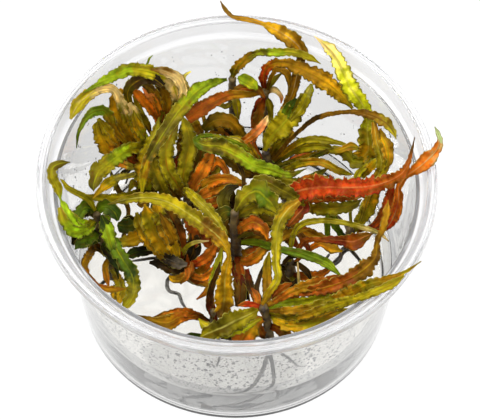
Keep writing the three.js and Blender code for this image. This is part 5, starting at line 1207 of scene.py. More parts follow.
leaf("front_wall", 0.7, 0.8, "yellow green", "dark olive",
     "olive, golden, golden, yellow olive, golden brown, olive",
     [(11, -29.5, 31.5, 1.2), (13, -33, 34.5, 2.1), (16.5, -36, 37, 3.2), (21.5, -36.5, 39, 4.4),
      (27, -36, 41, 4.1), (31.5, -34, 42, 2.3), (34, -33, 43, 0.3)])
leaf("yellow_front", 0.9, 0.9, "pale yellow", "dark olive",
     "olive, olive, dark olive, olive",
     [(6.9, -29.5, 35.3, 0.9), (4.5, -32.5, 37.5, 3.5), (0.5, -34.5, 37, 5.9),
      (-3.5, -36, 35.5, 5.3), (-7.5, -36.5, 33, 4.1), (-10, -37, 31, 0.6)])
leaf("yellow_twist", 0.7, 0.8, "pale yellow", "dark olive",
     "golden, yellow olive, yellow olive, olive, golden brown",
     [(8.1, -28, 35.6, 0.9), (10, -27, 41, 2.1), (12.5, -24, 44, 2.1), (12, -20, 46.5, 2.4),
      (12, -15.5, 49.5, 2.9), (12.5, -10.5, 52, 3.5), (15, -6.5, 54, 4.1), (18.5, -3.5, 54.5, 1.8)])

# Front left plantlet: the golden ribbon that arches across the left half of the cup, and a short
# orange leaf near the wall.
crown("front_left", 101,
      [(-6, -24, 12, 1.3), (-6, -24, 18, 1.4), (-6.5, -24.5, 26, 0.9)],
      [[(-6, -24, 13, 0.7), (-10, -28, 11, 0.5), (-15, -30, 12, 0.3)],
       [(-6, -24, 13, 0.7), (-4, -29, 10, 0.5), (-5, -34, 9, 0.3)]], (1,))
young_leaves("front_left", [
    ("dark_ribbon", 0.3, 0.4, "rust", "dark red, dark brown, dark brown",
     [(-6.3, -24.2, 22, 1.5), (-7.5, -23, 27, 2.1), (-7, -20.5, 32, 1.8), (-5.5, -18, 36, 1.5),
      (-4.5, -15.5, 39, 0.4)]),
    ("olive_thin", 0.3, 0.7, "yellow green", "dark brown, olive, yellow green, olive",
     [(-6.5, -25.5, 23, 0.9), (-7.5, -22, 28, 1.5), (-6.5, -18, 33, 2.1), (-5, -14.5, 37, 2.1),
      (-4, -10.5, 39, 0.9)]),
    ("tip_back", 0.4, 0.7, "golden", "dark brown, rust, orange, brown",
     [(-7, -24.5, 19, 0.9), (-11, -25, 23.5, 2.1), (-15, -26, 27, 2.7), (-20, -28, 29, 2.1),
      (-24.5, -30, 30, 0.6)]),
    ("red_cover", 0.3, 0.5, "rust", "dark red, dark red, rust",
     [(-5.5, -25.5, 21, 0.9), (-6.5, -24.5, 25, 2.4), (-7, -22, 27, 1.8), (-6.5, -20, 28, 0.6)]),
])
leaf("front_tip", 0.3, 0.5, "golden", "brown",
     "rust, orange, golden brown, brown",
     [(-7.9, -24.7, 20, 0.9), (-12, -26, 24, 1.2), (-16, -27.5, 27, 3.6), (-20, -31, 29, 4.4),
      (-25, -31, 30.5, 2.1), (-29.5, -30, 32, 0.3)])
leaf("golden_ribbon", 0.8, 0.9, "pale yellow", "golden brown",
     "golden brown, golden, golden, golden, brown, olive, yellow olive, olive, dark olive",
     [(-4.5, -25, 22.5, 0.9), (-3.5, -25.5, 28.5, 4.2), (-3, -24, 33.5, 5.3), (-3, -22, 38, 4.4),
      (-2.5, -20, 43, 2.7), (-2, -18, 48, 1.2), (-4.5, -15, 51, 4.1), (-9, -11.5, 52.5, 4.4),
      (-14, -8, 53.5, 4.1), (-20, -4.5, 54, 3.8), (-26, -3, 54, 2.9), (-32, -3, 53, 2.4),
      (-38, -4, 51.5, 0.3)])

# Left plantlet: a leaning stem by the left wall with a hooked leaf that reaches the rim, a crisped
# green one that droops beside the stem and dark, nearly black young leaves.
crown("left", 130,
      [(-37.5, -6, 12, 1.3), (-37.5, -6, 18, 1.5), (-38, -5.5, 26, 1.2), (-40.5, -5.5, 36, 1),
       (-41.5, -2.5, 45, 1.2)],
      [[(-37.5, -6, 13, 0.7), (-41, -9, 12, 0.5), (-42, -13, 13, 0.3)],
       [(-37.5, -6, 14, 0.7), (-34, -11, 12, 0.5), (-30, -13, 12.5, 0.3)]])
young_leaves("left", [
    ("left_dark", 0.8, 0.8, "deep green", "dark green, near black, dark green",
     [(-41, -3.2, 42.5, 1.5), (-43.5, -2.5, 45, 2.7), (-45.5, -5, 47.5, 2.4), (-46, -8.5, 49, 0.4)]),
    ("left_lobes", 0.8, 0.9, "deep green", "dark green, deep green, dark green",
     [(-40.5, -6, 35, 1.5), (-43, -10, 40, 1.8), (-44.5, -14, 46, 2.7), (-46, -17.5, 50.5, 2.9),
      (-47, -20.5, 52.5, 0.4)]),
    ("red_stem", 0.2, 0.2, "golden", "brown, golden brown, orange",
     [(-38, -5.7, 24.5, 1.2), (-39, -10.5, 27, 1.8), (-38.5, -14.5, 27.5, 1.8),
      (-37.5, -18.5, 27.5, 0.4)]),
    ("low_yellow", 0.6, 0.4, "pale yellow", "olive, yellow olive, golden",
     [(-37.5, -6.5, 19.5, 1.5), (-35.5, -11.5, 23, 1.5), (-34.5, -16, 26, 3),
      (-35.5, -20.5, 28, 2.7), (-36.5, -24.5, 29, 0.4)]),
    ("low_dark", 0.3, 0.5, "deep green", "dark green, near black, dark green",
     [(-38, -5.7, 23.5, 1.2), (-36, -8.5, 25, 1.8), (-35, -13.5, 25, 0.4)]),
    ("brown_blade", 0.2, 0.3, "brown", "dark brown, brown, dark olive",
     [(-37.5, -5, 18.5, 1.2), (-34.5, 3.5, 19.5, 1.2), (-33, 13.5, 20, 1.2), (-35, 18, 21.5, 1.8),
      (-37.5, 21.5, 24, 1.5), (-39, 25.5, 26, 0.4)]),
    ("crest_right", 0.5, 1.1, "leaf green", "dark green, deep green, dark green, dark green",
     [(-41.5, -2.5, 44, 0.9), (-40, -2, 46.5, 3), (-38, -2.5, 47.5, 4.2), (-36, -4, 47, 3.6),
      (-35, -5.5, 45, 0.9)]),
    ("crest_left", 0.5, 1.1, "leaf green", "dark green, dark green, deep green, near black",
     [(-41.5, -2.5, 43.5, 0.9), (-43, -2.5, 46.5, 2.7), (-45, -3.5, 48.5, 3.6),
      (-46.5, -6.5, 49.5, 3.3), (-48, -9.5, 49.5, 0.9)]),
    ("lobe_low", 0.5, 1.1, "olive", "dark green, deep green, dark green, near black",
     [(-41, -3.5, 37, 0.9), (-42.5, -8.5, 41, 3.3), (-45, -12.5, 45.5, 4.5),
      (-47, -15.5, 49.5, 3.6), (-48, -17.5, 50.5, 0.9)]),
    ("bright_side", 0.5, 1, "yellow green", "deep green, bright green, leaf green, dark green",
     [(-41, -2.5, 41.5, 0.9), (-39, -5, 43.5, 3.6), (-38, -8.5, 43, 3.9), (-37, -11.5, 41, 2.7),
      (-36, -13.5, 39, 0.6)]),
    ("inner_hook", 0.4, 1, "yellow green", "dark green, olive, bright green, olive",
     [(-41.5, -3, 41, 0.9), (-43.5, -6.5, 45, 2.1), (-45.5, -9.5, 49, 2.7), (-47.5, -9.5, 52, 2.4),
      (-49, -7, 53, 0.6)]),
    ("brown_top", 0.4, 0.8, "rust", "dark brown, brown, dark brown",
     [(-37.5, -5.5, 21.5, 0.9), (-39, -5.5, 27, 2.4), (-41.5, -6, 31, 2.4), (-43.5, -7, 33, 0.6)]),
    ("hook_wide", 0.5, 1.1, "yellow green", "dark green, leaf green, bright green, olive",
     [(-41.5, -4, 42, 0.9), (-44, -11, 48, 2.4), (-47.5, -16, 55.5, 3.3), (-50, -15.5, 60.5, 2.7),
      (-51.5, -12, 62, 1.2)]),
    ("golden_low", 0.4, 0.9, "pale yellow", "olive, golden, yellow olive, golden",
     [(-37.5, -6.5, 18, 0.9), (-35, -14, 25, 2.7), (-34, -20.5, 28, 3.6), (-34.5, -24.5, 29, 1.5)]),
    ("dark_skirt", 0.4, 0.9, "deep green", "dark green, near black, dark green",
     [(-40, -5, 33, 0.9), (-38.5, -10, 36, 2.7), (-35.5, -14.5, 36, 2.7), (-33.5, -17, 35, 0.6)]),
])
leaf("left_hook", 0.7, 0.8, "yellow green", "dark olive",
     "olive, leaf green, bright green, olive, dark olive",
     [(-42, -4.7, 43, 0.9), (-44, -10, 48, 1.5), (-46.5, -13.5, 53.5, 2.9),
      (-48.5, -12.5, 56.5, 3.2), (-50.5, -8.5, 57.5, 1.8), (-51.5, -7, 58.5, 0.6),
      (-52.5, -4, 60.5, 2.6), (-54, -2, 63, 2.6), (-54, 1, 63, 2.6), (-52, 2.5, 63, 2.1),
      (-49, 3.5, 62.5, 0.3)])
leaf("left_thin", 0.2, 0.3, "yellow green", "dark olive",
     "olive, olive, yellow olive",
     [(-41.9, -2.5, 45.6, 0.9), (-43.5, -2, 50.5, 1.8), (-46, -2, 53.5, 1.8),
      (-49.5, -1.5, 56, 1.5), (-51, 0, 57, 0.9), (-52, 1, 57, 0.3)])
leaf("left_crisp", 1, 1.1, "yellow green", "dark green",
     "dark green, deep green, deep green, dark green, olive, olive",
     [(-40, -3.6, 45, 0.9), (-38.5, -6.5, 43.5, 3.3), (-36.5, -10.5, 41, 3.6),
      (-33.5, -15.5, 39.5, 3.9), (-30.5, -20.5, 38.5, 4.1), (-30, -25, 37.5, 3.5),
      (-31.5, -29, 37, 3.2), (-33.5, -31, 36.5, 0.3)])
leaf("brown_loop", 0.7, 0.8, "golden", "dark brown",
     "dark brown, brown, golden brown, rust, golden brown",
     [(-40.3, -6.2, 28.5, 0.9), (-42.5, -8, 33, 1.8), (-43.5, -14, 39, 2.4),
      (-44.5, -19.5, 42, 2.1), (-43, -24, 43, 1.8), (-40, -27, 43, 1.5), (-36, -27.5, 42, 1.8),
      (-31.5, -26.5, 41, 0.3)])

# Left front plantlet: a dark clump of roots and short brown and dark green leaves, low in the gel.
crown("left_front", 185,
      [(-17.5, -4.5, 12, 1.8), (-17.5, -4.5, 18, 2.3), (-17.8, -4.3, 22.6, 1.1)],
      [[(-17.5, -4.5, 14, 0.8), (-23, 0, 14, 0.6), (-28, -0.5, 14.5, 0.5), (-32, -1.5, 15, 0.3)],
       [(-17.5, -4.5, 14, 0.8), (-20.5, -7.5, 14, 0.6), (-20, -11, 13.5, 0.6), (-17, -12, 13, 0.6),
        (-16, -14.5, 12, 0.5), (-14, -17, 11, 0.3)],
       [(-17.5, -4.5, 13, 0.8), (-12, -1, 11, 0.5), (-8, 3, 11.5, 0.3)]], (1,))
young_leaves("left_front", [
    ("brown_dark", 0.5, 0.6, "brown", "dark brown, near black, dark brown",
     [(-16.6, -5.2, 19.8, 1.8), (-13.5, -4.8, 24, 3.3), (-12.5, -2.5, 28, 4.2), (-13.5, 1.5, 33, 0.9)]),
    ("red_small", 0.5, 0.5, "orange", "rust, red, rust",
     [(-17, -5.5, 19, 1.5), (-14.5, -6.5, 22, 2.1), (-14.5, -5.5, 26.5, 0.4)]),
    ("brown_fork", 0.6, 0.7, "golden", "brown, golden brown, orange, brown",
     [(-16.5, -6, 18.8, 1.8), (-11.5, -8, 20.5, 2.4), (-9, -7, 24, 3.6), (-7, -5.5, 28, 2.7),
      (-6, -3.5, 30, 0.4)]),
    ("thin_arc", 0.1, 0.1, "beige", "olive, yellow olive, beige",
     [(-17.2, -4.6, 20, 1.1), (-15.5, -3.5, 26, 1.2), (-12.5, -4, 31, 1.2), (-8, -4.5, 33, 0.4)]),
    ("brown_cluster", 0.6, 0.7, "golden", "brown, dark brown, golden brown, brown",
     [(-17.7, -4.3, 20.8, 1.2), (-18.5, -2.5, 29.5, 3), (-20.5, -1, 35, 3.3), (-23, 1.5, 39, 0.6)]),
    ("dark_green_low", 0.4, 0.5, "deep green", "dark green, near black, dark green",
     [(-18.5, -4, 20, 1.5), (-24, -1, 20.5, 1.8), (-28, -1, 21, 3), (-31, -2, 21, 3),
      (-34, -3.5, 21, 0.4)]),
    ("golden_right", 0.5, 0.9, "golden", "brown, golden, golden brown, olive, golden",
     [(-17.5, -5, 21, 0.9), (-18.5, -3.5, 27, 3.3), (-21.5, 0.5, 32, 4.5), (-23.5, 4, 36, 3.9),
      (-24.5, 6, 39, 0.9)]),
    ("golden_left", 0.5, 0.9, "pale yellow", "brown, golden brown, golden, olive",
     [(-18, -5, 20.5, 0.9), (-22, -4, 23, 2.4), (-26, -1, 27, 3.9), (-29, 2.5, 31, 3.6),
      (-30, 4.5, 34, 0.9)]),
    ("red_brown_left", 0.4, 0.7, "rust", "dark red, rust, dark brown, brown",
     [(-17, -5, 21, 0.9), (-16, -3, 26, 2.7), (-17.5, 0.5, 31, 3.6), (-20, 3.5, 35, 3.3),
      (-21.5, 5.5, 37, 0.9)]),
    ("red_brown_right", 0.4, 0.7, "rust", "dark brown, dark red, rust, dark red",
     [(-16, -5, 20, 0.9), (-14, -3.5, 25, 2.7), (-12.5, -1, 30, 3.6), (-14, 2, 34, 3.3),
      (-15.5, 4.5, 36, 0.9)]),
    ("red_tongue", 0.4, 0.6, "orange", "dark red, red, orange, rust",
     [(-16, -5.5, 19, 0.9), (-12, -7, 24, 2.4), (-8.5, -7, 28, 3.3), (-6, -5.5, 32, 2.1),
      (-5.5, -3.5, 34, 0.6)]),
    ("star_right", 0.3, 0.6, "golden", "rust, orange, bright orange, rust",
     [(-16, -6, 18, 0.9), (-13, -9, 21, 1.8), (-10, -12, 24, 2.1), (-6.5, -12, 28, 2.4),
      (-4.5, -10, 32, 1.5), (-4, -8.5, 34, 0.5)]),
    ("star_low", 0.3, 0.6, "orange", "brown, rust, golden brown, rust",
     [(-16, -6, 18, 0.9), (-12, -10, 19.5, 2.1), (-8, -12.5, 21, 2.4), (-8.5, -15, 21, 1.8),
      (-11.5, -17, 19.5, 0.5)]),
    ("star_left", 0.2, 0.5, "golden", "brown, rust, orange, brown",
     [(-16, -5.5, 19, 0.9), (-14.5, -8, 23, 1.8), (-14.5, -11, 23, 1.8), (-16.5, -12.5, 21, 0.6)]),
    ("black_frill", 1, 1.2, "dark brown", "near black, dark brown, near black",
     [(-26, -4.5, 20, 0.9), (-23, -5.5, 21, 2.7), (-19, -7.5, 22, 3.6), (-16, -8.5, 22, 2.7),
      (-13.5, -7.5, 22, 0.6)]),
    ("grey_frill", 0.9, 1.2, "grey brown", "dark brown, near black, grey brown",
     [(-24, -3, 21.5, 0.9), (-20.5, -5, 23, 3), (-17.5, -7, 24, 3.6), (-14.5, -7.5, 24, 1.2)]),
    ("golden_hook", 0.4, 0.7, "golden", "rust, orange, golden brown, golden",
     [(-13, -6.5, 24, 0.9), (-13.5, -9, 23, 2.1), (-16, -10.5, 21.5, 2.7),
      (-18.5, -10.5, 20.5, 2.1), (-20, -9, 20, 0.6)]),
    ("pale_fluff", 0.8, 1.1, "beige", "grey brown, beige, grey brown",
     [(-15.5, -9, 18.5, 0.6), (-12.5, -10, 18.5, 1.8), (-9.5, -10.5, 18.5, 2.1),
      (-7.5, -10, 18.5, 0.6)]),
])
leaf("olive_cluster", 0.8, 0.9, "golden", "dark olive",
     "golden, golden, yellow olive, golden",
     [(-19.6, -4, 22, 0.9), (-22, -2.5, 26, 4.8), (-24.5, 0, 31, 5.7), (-26.5, 2.5, 36, 4.2),
      (-27.5, 4, 39.5, 0.6)])

# Centre left plantlet: a fan of broad orange, brown and olive leaves that stand close behind one
# another.
crown("centre_left", 149,
      [(-15, 15.5, 12, 1.6), (-15, 15.5, 18, 2), (-15, 15.5, 25, 1.4)],
      [[(-15, 15.5, 13, 0.7), (-10, 12, 10.5, 0.5), (-6, 8, 11, 0.3)],
       [(-15, 15.5, 13, 0.7), (-19, 12, 11, 0.5), (-24, 11, 12, 0.3)]])
young_leaves("centre_left", [
    ("olive_spine", 0.5, 0.6, "yellow olive", "dark olive, olive, brown, olive",
     [(-15, 16, 23, 1.2), (-16.5, 21.5, 26, 1.2), (-17, 27, 29, 2.7), (-16.5, 30.5, 33, 4),
      (-16, 33.5, 37, 3.3), (-16, 35.5, 39, 0.4)]),
    ("back_orange", 0.4, 0.5, "beige", "brown, orange, golden, beige, pale yellow",
     [(-14.3, 16.3, 23, 0.9), (-11.5, 25.5, 25.5, 0.9), (-9.5, 33.5, 30, 0.9), (-11, 39, 37, 1.2),
      (-14, 40.5, 43, 1.8), (-16, 40.5, 48, 2.7), (-17, 41.5, 51, 2.1), (-16, 42, 53, 0.9),
      (-14.5, 42.5, 54, 0.4)]),
    ("olive_shoulder", 0.5, 0.9, "golden", "brown, olive, yellow olive, olive, yellow olive",
     [(-15, 15, 25, 1.2), (-16.5, 17.5, 31, 3.3), (-15.5, 21.5, 36, 4.5), (-14.5, 25.5, 40, 4.5),
      (-15.5, 29.5, 43, 3.3), (-17, 32, 45, 0.9)]),
    ("olive_fold", 0.5, 0.9, "golden", "brown, dark olive, olive, golden brown, olive",
     [(-16.5, 16, 20, 0.9), (-20.5, 14.5, 26, 2.7), (-23.5, 17, 32, 3.9), (-25.5, 21, 36, 3.9),
      (-25, 25.5, 40, 3.3), (-23.5, 31, 43, 1.2)]),
    ("brown_mid", 0.4, 0.8, "rust", "dark brown, brown, dark olive, brown",
     [(-14.5, 15.5, 25, 1.2), (-13.5, 19.5, 29, 2.7), (-11.5, 24, 33, 3.6), (-11, 28, 36, 3),
      (-12, 31.5, 38, 0.9)]),
    ("orange_star", 0.3, 0.6, "bright orange", "brown, orange, rust, bright orange, dark red",
     [(-14.5, 15.5, 24, 1.2), (-11.5, 18.5, 30, 2.7), (-8.5, 21, 34, 3.3), (-6, 22, 36, 2.7),
      (-3.5, 19, 36, 2.1), (-2.5, 16, 34, 0.6)]),
    ("golden_star", 0.3, 0.7, "golden", "brown, golden brown, orange, golden brown",
     [(-14, 15.5, 22, 1.2), (-11, 16.5, 29, 3), (-6.5, 16.5, 34, 3.6), (-2, 15, 37, 2.7),
      (3, 13.5, 37, 0.6)]),
    ("red_inside", 0.4, 0.7, "rust", "dark brown, dark red, rust, dark red",
     [(-15, 15.5, 20, 0.9), (-18.5, 16, 23, 2.7), (-21, 18.5, 27, 3.6), (-20, 22.5, 30, 3.3),
      (-18, 25.5, 33, 0.9)]),
    ("olive_alongside", 0.4, 0.8, "pale yellow", "brown, olive, yellow olive, olive, olive",
     [(-14.5, 15, 24, 0.9), (-15.5, 11.5, 36, 1.5), (-12.5, 3, 45, 2.7), (-8, -2.5, 46, 3.3),
      (-4, -8, 45, 2.1), (-3, -11.5, 43, 0.6)]),
    ("brown_inside", 0.4, 0.7, "golden", "dark brown, brown, rust, dark brown",
     [(-14.5, 15.5, 21, 0.9), (-11, 12.5, 26, 2.7), (-7.5, 10.5, 30, 3.6), (-4.5, 10, 33, 3.3),
      (-2, 11, 35, 0.9)]),
    ("golden_fork", 0.3, 0.7, "golden", "brown, golden brown, olive",
     [(-14, 15.5, 24, 0.9), (-10.5, 17.5, 29, 2.4), (-7, 20, 33, 3), (-4.5, 22, 34, 0.9)]),
    # dark_gap fills a gap low in the fan; its near-black tones are painted shade.
    ("dark_gap", 0.3, 0.6, "brown", "dark brown, near black, dark brown",
     [(-15, 15, 19, 0.9), (-12, 16.5, 23, 2.1), (-8.5, 16.5, 26, 2.7), (-5, 15, 28, 2.1),
      (-2.5, 13.5, 28, 0.6)]),
])
leaf("orange_pair_upper", 0.4, 0.5, "bright orange", "brown",
     "rust, orange, bright orange, rust",
     [(-14.5, 15.8, 25.6, 0.9), (-13, 17.5, 30, 3.6), (-10.5, 20, 33.5, 4.2), (-8.5, 23, 36, 3.6),
      (-7, 25.5, 38, 0.6)])
leaf("orange_pair_lower", 0.4, 0.5, "bright orange", "brown",
     "golden brown, orange, golden, orange",
     [(-12.7, 14.7, 24, 1.2), (-10, 14.5, 29, 3.3), (-5.5, 15.5, 32, 3.6), (-1.5, 15.5, 35, 2.4),
      (3, 13.5, 35, 0.6)])
leaf("orange_left", 0.7, 0.8, "golden", "brown",
     "brown, golden brown, orange, golden, olive",
     [(-16.5, 13.4, 19.5, 1.2), (-19.5, 7.5, 22, 1.5), (-23.5, 4, 24, 2.4), (-29, 1, 26, 4.2),
      (-33.5, -1.5, 27, 3.6), (-36, -0.5, 27, 0.3)])
leaf("olive_midrib", 0.6, 0.8, "orange", "dark olive",
     "brown, olive, yellow olive, olive, dark olive",
     [(-16.7, 15.5, 25.5, 0.9), (-18, 16, 32, 3.6), (-21, 18.5, 37, 4.2), (-21.5, 22.5, 41, 4.2),
      (-20, 27, 43, 3.6), (-18, 31, 43.5, 0.6)])
leaf("rough_brown", 0.8, 0.9, "golden brown", "dark brown",
     "brown, golden brown, golden, olive",
     [(-17.2, 15, 22.3, 0.9), (-19.5, 16.5, 26, 3.7), (-23, 19, 30, 4.6), (-24.5, 22.5, 32.5, 2.7),
      (-25, 25.5, 33.5, 0.3)])

# Left back plantlet: the fullest bunch. Two of its leaves arch over towards the rim on the far left,
# the others are broad, olive and brown, with finely toothed edges.
crown("left_back", 112,
      [(-27, 29.5, 12, 1.6), (-27, 29.5, 18, 2.2), (-27, 29.7, 24, 1.9), (-26.5, 29.5, 31, 1.2)],
      [[(-27, 29.5, 13, 0.8), (-30.5, 32.5, 11.5, 0.5), (-33.5, 32, 10.5, 0.4),
        (-34.5, 28.5, 11, 0.3)],
       [(-27, 29.5, 13, 0.8), (-22, 26, 10.5, 0.5), (-18, 24, 9, 0.3)]])
young_leaves("left_back", [
    ("dark_green_mid", 0.4, 0.5, "olive", "dark green, dark olive, near black",
     [(-26, 28, 18.7, 1.2), (-25, 20.5, 18.7, 1.2), (-26.5, 12.5, 20, 1.5), (-30, 7.5, 22, 3),
      (-33, 7.5, 23, 4.3), (-36, 6.5, 23, 0.6)]),
    ("brown_broad", 0.5, 0.6, "rust", "dark brown, rust, brown, dark brown",
     [(-27.5, 29.5, 23.5, 1.5), (-31, 30, 28.5, 2.5), (-34, 30.5, 34, 3.7), (-36.5, 32, 40.5, 3.2),
      (-36, 34, 45, 2.8), (-35, 36, 48, 0.4)]),
    ("olive_yellow", 0.6, 0.7, "pale yellow", "olive, yellow green, golden, olive",
     [(-27, 29.5, 30.5, 1.2), (-28, 29.5, 35.5, 2), (-30, 30, 41.5, 3.4), (-31, 30.3, 46, 2.4),
      (-31.5, 31, 49.5, 0.4)]),
    ("orange_inner", 0.4, 0.5, "bright orange", "brown, orange, bright orange, orange",
     [(-26.3, 29.8, 28.5, 1.2), (-24.5, 33.5, 31, 1.2), (-24.5, 36, 37, 1.8), (-26.5, 37, 42, 3),
      (-29, 37, 46.5, 3), (-32, 37.5, 51.5, 1.8), (-33.5, 38, 54, 0.4)]),
    ("brown_inner", 0.4, 0.5, "rust", "dark brown, rust, dark brown, brown",
     [(-26, 29.5, 24, 1.2), (-21.5, 35.5, 27, 1.2), (-19.5, 39, 33, 1.5), (-21, 40.5, 40, 3.4),
      (-23.5, 41.5, 46, 2.7), (-26.5, 42, 50, 0.4)]),
    ("yellow_under", 0.4, 0.5, "pale yellow", "yellow olive, pale yellow, yellow olive, golden",
     [(-28, 29, 18.8, 1.2), (-32, 25.5, 22, 1.5), (-36, 19.5, 30, 2.1), (-39, 12.5, 37, 3),
      (-41.5, 7.5, 40, 1.5), (-43, 5, 40.5, 0.4)]),
    ("olive_arc", 0.2, 0.3, "olive", "olive, dark olive, olive",
     [(-28, 29, 18.6, 1.2), (-31.5, 29.5, 20, 1.2), (-34.5, 25.5, 24, 1.2), (-36.5, 21, 26, 1.2),
      (-37.5, 17, 26, 0.4)]),
    ("golden_gap", 0.5, 0.7, "golden", "brown, golden brown, golden, golden, golden brown",
     [(-27, 28.5, 26, 1.2), (-30, 29, 32, 3), (-33.5, 30.5, 39, 4.5), (-36, 32, 46, 5.1),
      (-36.5, 33.5, 52, 3.9), (-35, 35, 55, 1.2)]),
    ("rust_gap", 0.4, 0.6, "orange", "dark brown, rust, orange, rust, dark red",
     [(-27.5, 28.5, 23, 1.2), (-31.5, 30, 28, 2.7), (-35, 30, 35, 3.3), (-38, 30.5, 43, 3),
      (-40, 30.5, 48, 1.2)]),
    ("olive_upright", 0.4, 0.8, "pale yellow", "brown, olive, golden, yellow olive, beige",
     [(-27, 29, 28, 1.2), (-28.5, 28.5, 34, 2.4), (-30.5, 30.5, 40, 3.6), (-31.5, 32.5, 46, 3.6),
      (-33, 34, 49, 1.5)]),
    ("under_arch", 0.4, 0.8, "golden", "olive, brown, golden brown, dark olive, dark brown, near black",
     [(-27, 29.5, 30, 1.2), (-30, 30.5, 36, 1.5), (-32, 33.5, 45, 2.1), (-33.5, 36, 51, 2.7),
      (-31, 37.5, 55, 3.6), (-26.5, 38.5, 56, 3.6), (-22.5, 37, 54, 1.8)]),
    ("orange_window", 0.3, 0.5, "bright orange", "brown, orange, bright orange, salmon",
     [(-26, 30.5, 30, 0.9), (-24, 35.5, 35, 1.2), (-24.5, 37, 43, 2.4), (-27, 38, 48, 2.7),
      (-29, 39, 50, 0.6)]),
    ("brown_beside", 0.4, 0.7, "golden", "dark brown, brown, rust, golden brown, dark brown",
     [(-25.5, 30, 27, 1.2), (-23, 34, 33, 2.1), (-21.5, 36.5, 40, 3), (-22, 39, 46, 3.6),
      (-24.5, 40, 50, 1.5)]),
    ("olive_deep", 0.4, 0.8, "yellow olive", "dark olive, olive, dark olive, brown",
     [(-26, 29, 21, 1.2), (-23.5, 28.5, 26, 2.4), (-22, 29, 31, 3.6), (-21.5, 31.5, 35, 3.3),
      (-22.5, 34, 38, 1.2)]),
    ("brown_shelf", 0.4, 0.8, "golden", "dark brown, brown, dark olive, brown",
     [(-28, 29, 18.5, 1.2), (-26.5, 21.5, 22, 2.7), (-27.5, 15, 26, 3.9), (-29.5, 11, 27, 1.8)]),
    ("dark_ball", 0.5, 0.7, "olive", "dark green, dark olive, dark olive, dark green",
     [(-27, 28, 18, 0.9), (-27.5, 16.5, 18.5, 1.2), (-29.5, 10, 21, 2.7), (-32, 6, 24, 4.8),
      (-34.5, 6, 24, 4.2), (-36, 6.5, 24, 1.2)]),
    ("rust_edge", 0.4, 0.8, "golden", "brown, rust, golden, olive",
     [(-28, 28.5, 23, 1.2), (-32, 26.5, 29, 2.1), (-36.5, 25.5, 37, 3), (-39.5, 26.5, 45, 3.3),
      (-42, 27.5, 50, 1.2)]),
    ("beige_shoulder", 0.4, 0.6, "beige", "olive, yellow olive, beige, beige, brown",
     [(-25.5, 30.5, 29, 0.9), (-20.5, 34, 39, 1.5), (-17, 36, 50, 2.4), (-18, 38.5, 55, 3.3),
      (-22, 39.5, 58, 2.7), (-26.5, 39.5, 59, 0.6)]),
    ("arch_inner", 0.4, 0.7, "golden", "brown, olive, golden brown, dark brown",
     [(-26, 30.5, 28, 0.9), (-23, 35.5, 37, 1.8), (-24, 38, 45, 2.7), (-27, 39, 50, 2.4),
      (-30, 39, 52, 0.6)]),
    ("low_across", 0.4, 0.7, "golden", "brown, olive, yellow olive, olive",
     [(-28, 22.5, 19.5, 0.9), (-32, 16, 26, 2.1), (-37, 10.5, 32, 2.7), (-41.5, 7.5, 37, 2.4),
      (-45, 6.5, 40, 0.6)]),
    ("short_spur", 0.3, 0.7, "golden", "dark brown, brown, olive",
     [(-27.5, 25, 19, 0.9), (-29.5, 19.5, 23, 2.4), (-31.5, 20, 26, 2.4), (-33, 17.5, 25, 0.6)]),
    ("brown_gap", 0.4, 0.7, "golden", "brown, golden brown, olive",
     [(-10.5, 33.5, 30, 0.9), (-12, 34, 35, 2.4), (-13.5, 34.5, 39, 2.7), (-15.5, 36, 41, 0.9)]),
    ("thin_tip", 0.1, 0.2, "yellow green", "leaf green, deep green, leaf green",
     [(-28.5, 41.5, 57, 0.6), (-27.5, 42.5, 58, 0.6), (-27, 43.5, 59, 0.6), (-26, 44, 60, 0.2)]),
    ("thin_gap", 0.3, 0.5, "golden", "brown, olive, yellow olive",
     [(-26.5, 33.5, 33, 0.9), (-28, 34.5, 38, 2.1), (-30, 36, 42, 2.1), (-32, 39.5, 45, 0.6)]),
])
leaf("green_arch", 0.6, 0.7, "yellow green", "dark olive",
     "dark olive, olive, olive, beige, yellow olive, yellow olive, leaf green, leaf green, deep green",
     [(-24.5, 29.7, 30, 0.9), (-22, 32, 33.5, 1.8), (-19.5, 34.5, 39.5, 3), (-18.5, 37, 46, 3.3),
      (-20.5, 39, 53, 4.2), (-26.5, 39.5, 57.5, 3.9), (-33, 38.5, 60, 3.6), (-38.5, 34, 62, 3),
      (-43, 29.5, 64, 1.2), (-46, 26.5, 65, 0.3)])
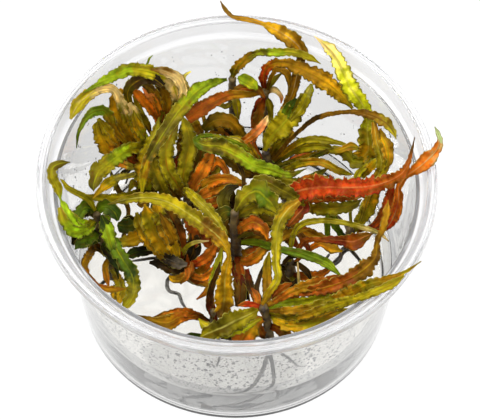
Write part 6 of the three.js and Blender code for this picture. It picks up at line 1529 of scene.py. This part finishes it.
leaf("pale_arch", 0.4, 0.5, "beige", "golden brown",
     "yellow olive, golden, olive, beige, beige, yellow olive, olive",
     [(-28.7, 30.4, 30.3, 0.9), (-30.8, 32, 34, 1.8), (-33, 31.4, 41.3, 2.5), (-35, 32, 50.5, 3),
      (-37.5, 33, 57.3, 2.4), (-41.5, 31.3, 60, 2.7), (-45, 27, 62.5, 3.3), (-48, 22.5, 63, 3.6),
      (-49.5, 18, 63.5, 0.9)])
leaf("dark_tip", 0.7, 0.8, "olive", "dark green",
     "yellow olive, golden brown, deep green, deep green",
     [(-28.8, 28.3, 28, 0.9), (-33, 27.5, 35, 1.2), (-37, 28.5, 42.5, 1.8), (-39, 29, 49, 3),
      (-41, 28.5, 53, 3), (-44, 25.5, 55.5, 2.4), (-46, 22, 56, 1.5), (-47.5, 18.5, 55, 0.9),
      (-48, 16, 51, 0.3)])
leaf("serrated_brown", 1, 1.1, "golden", "dark brown",
     "pale yellow, pale yellow, bright orange, golden, yellow olive",
     [(-29.6, 28.6, 22, 0.9), (-33, 25.5, 27, 2.1), (-37, 24, 34, 3.9), (-40, 24.5, 41, 4.8),
      (-42, 26.5, 46, 3.6), (-42, 28.5, 47.5, 0.6)])
leaf("green_slant", 0.7, 0.8, "yellow green", "dark olive",
     "yellow olive, yellow olive, leaf green, olive, dark olive",
     [(-27.2, 27.2, 28.5, 0.9), (-28.8, 27.3, 33.5, 2.1), (-31, 25.5, 37.5, 3.4),
      (-33.5, 21.5, 42, 3.6), (-37, 15.5, 46, 4.2), (-41, 10, 48, 4.8), (-42.5, 5, 48.5, 3),
      (-42.5, 3, 47.5, 0.3)])
leaf("olive_broad", 0.6, 0.7, "yellow green", "dark olive",
     "yellow green, yellow green, golden, yellow olive, olive",
     [(-27.5, 26.4, 18.6, 0.9), (-28, 20, 22, 3.1), (-28.5, 18.5, 29.5, 4.9), (-28, 20.5, 36, 5.1),
      (-26, 24, 41, 4.5), (-24.5, 28.5, 43, 2.7), (-24, 32.5, 44, 0.3)])
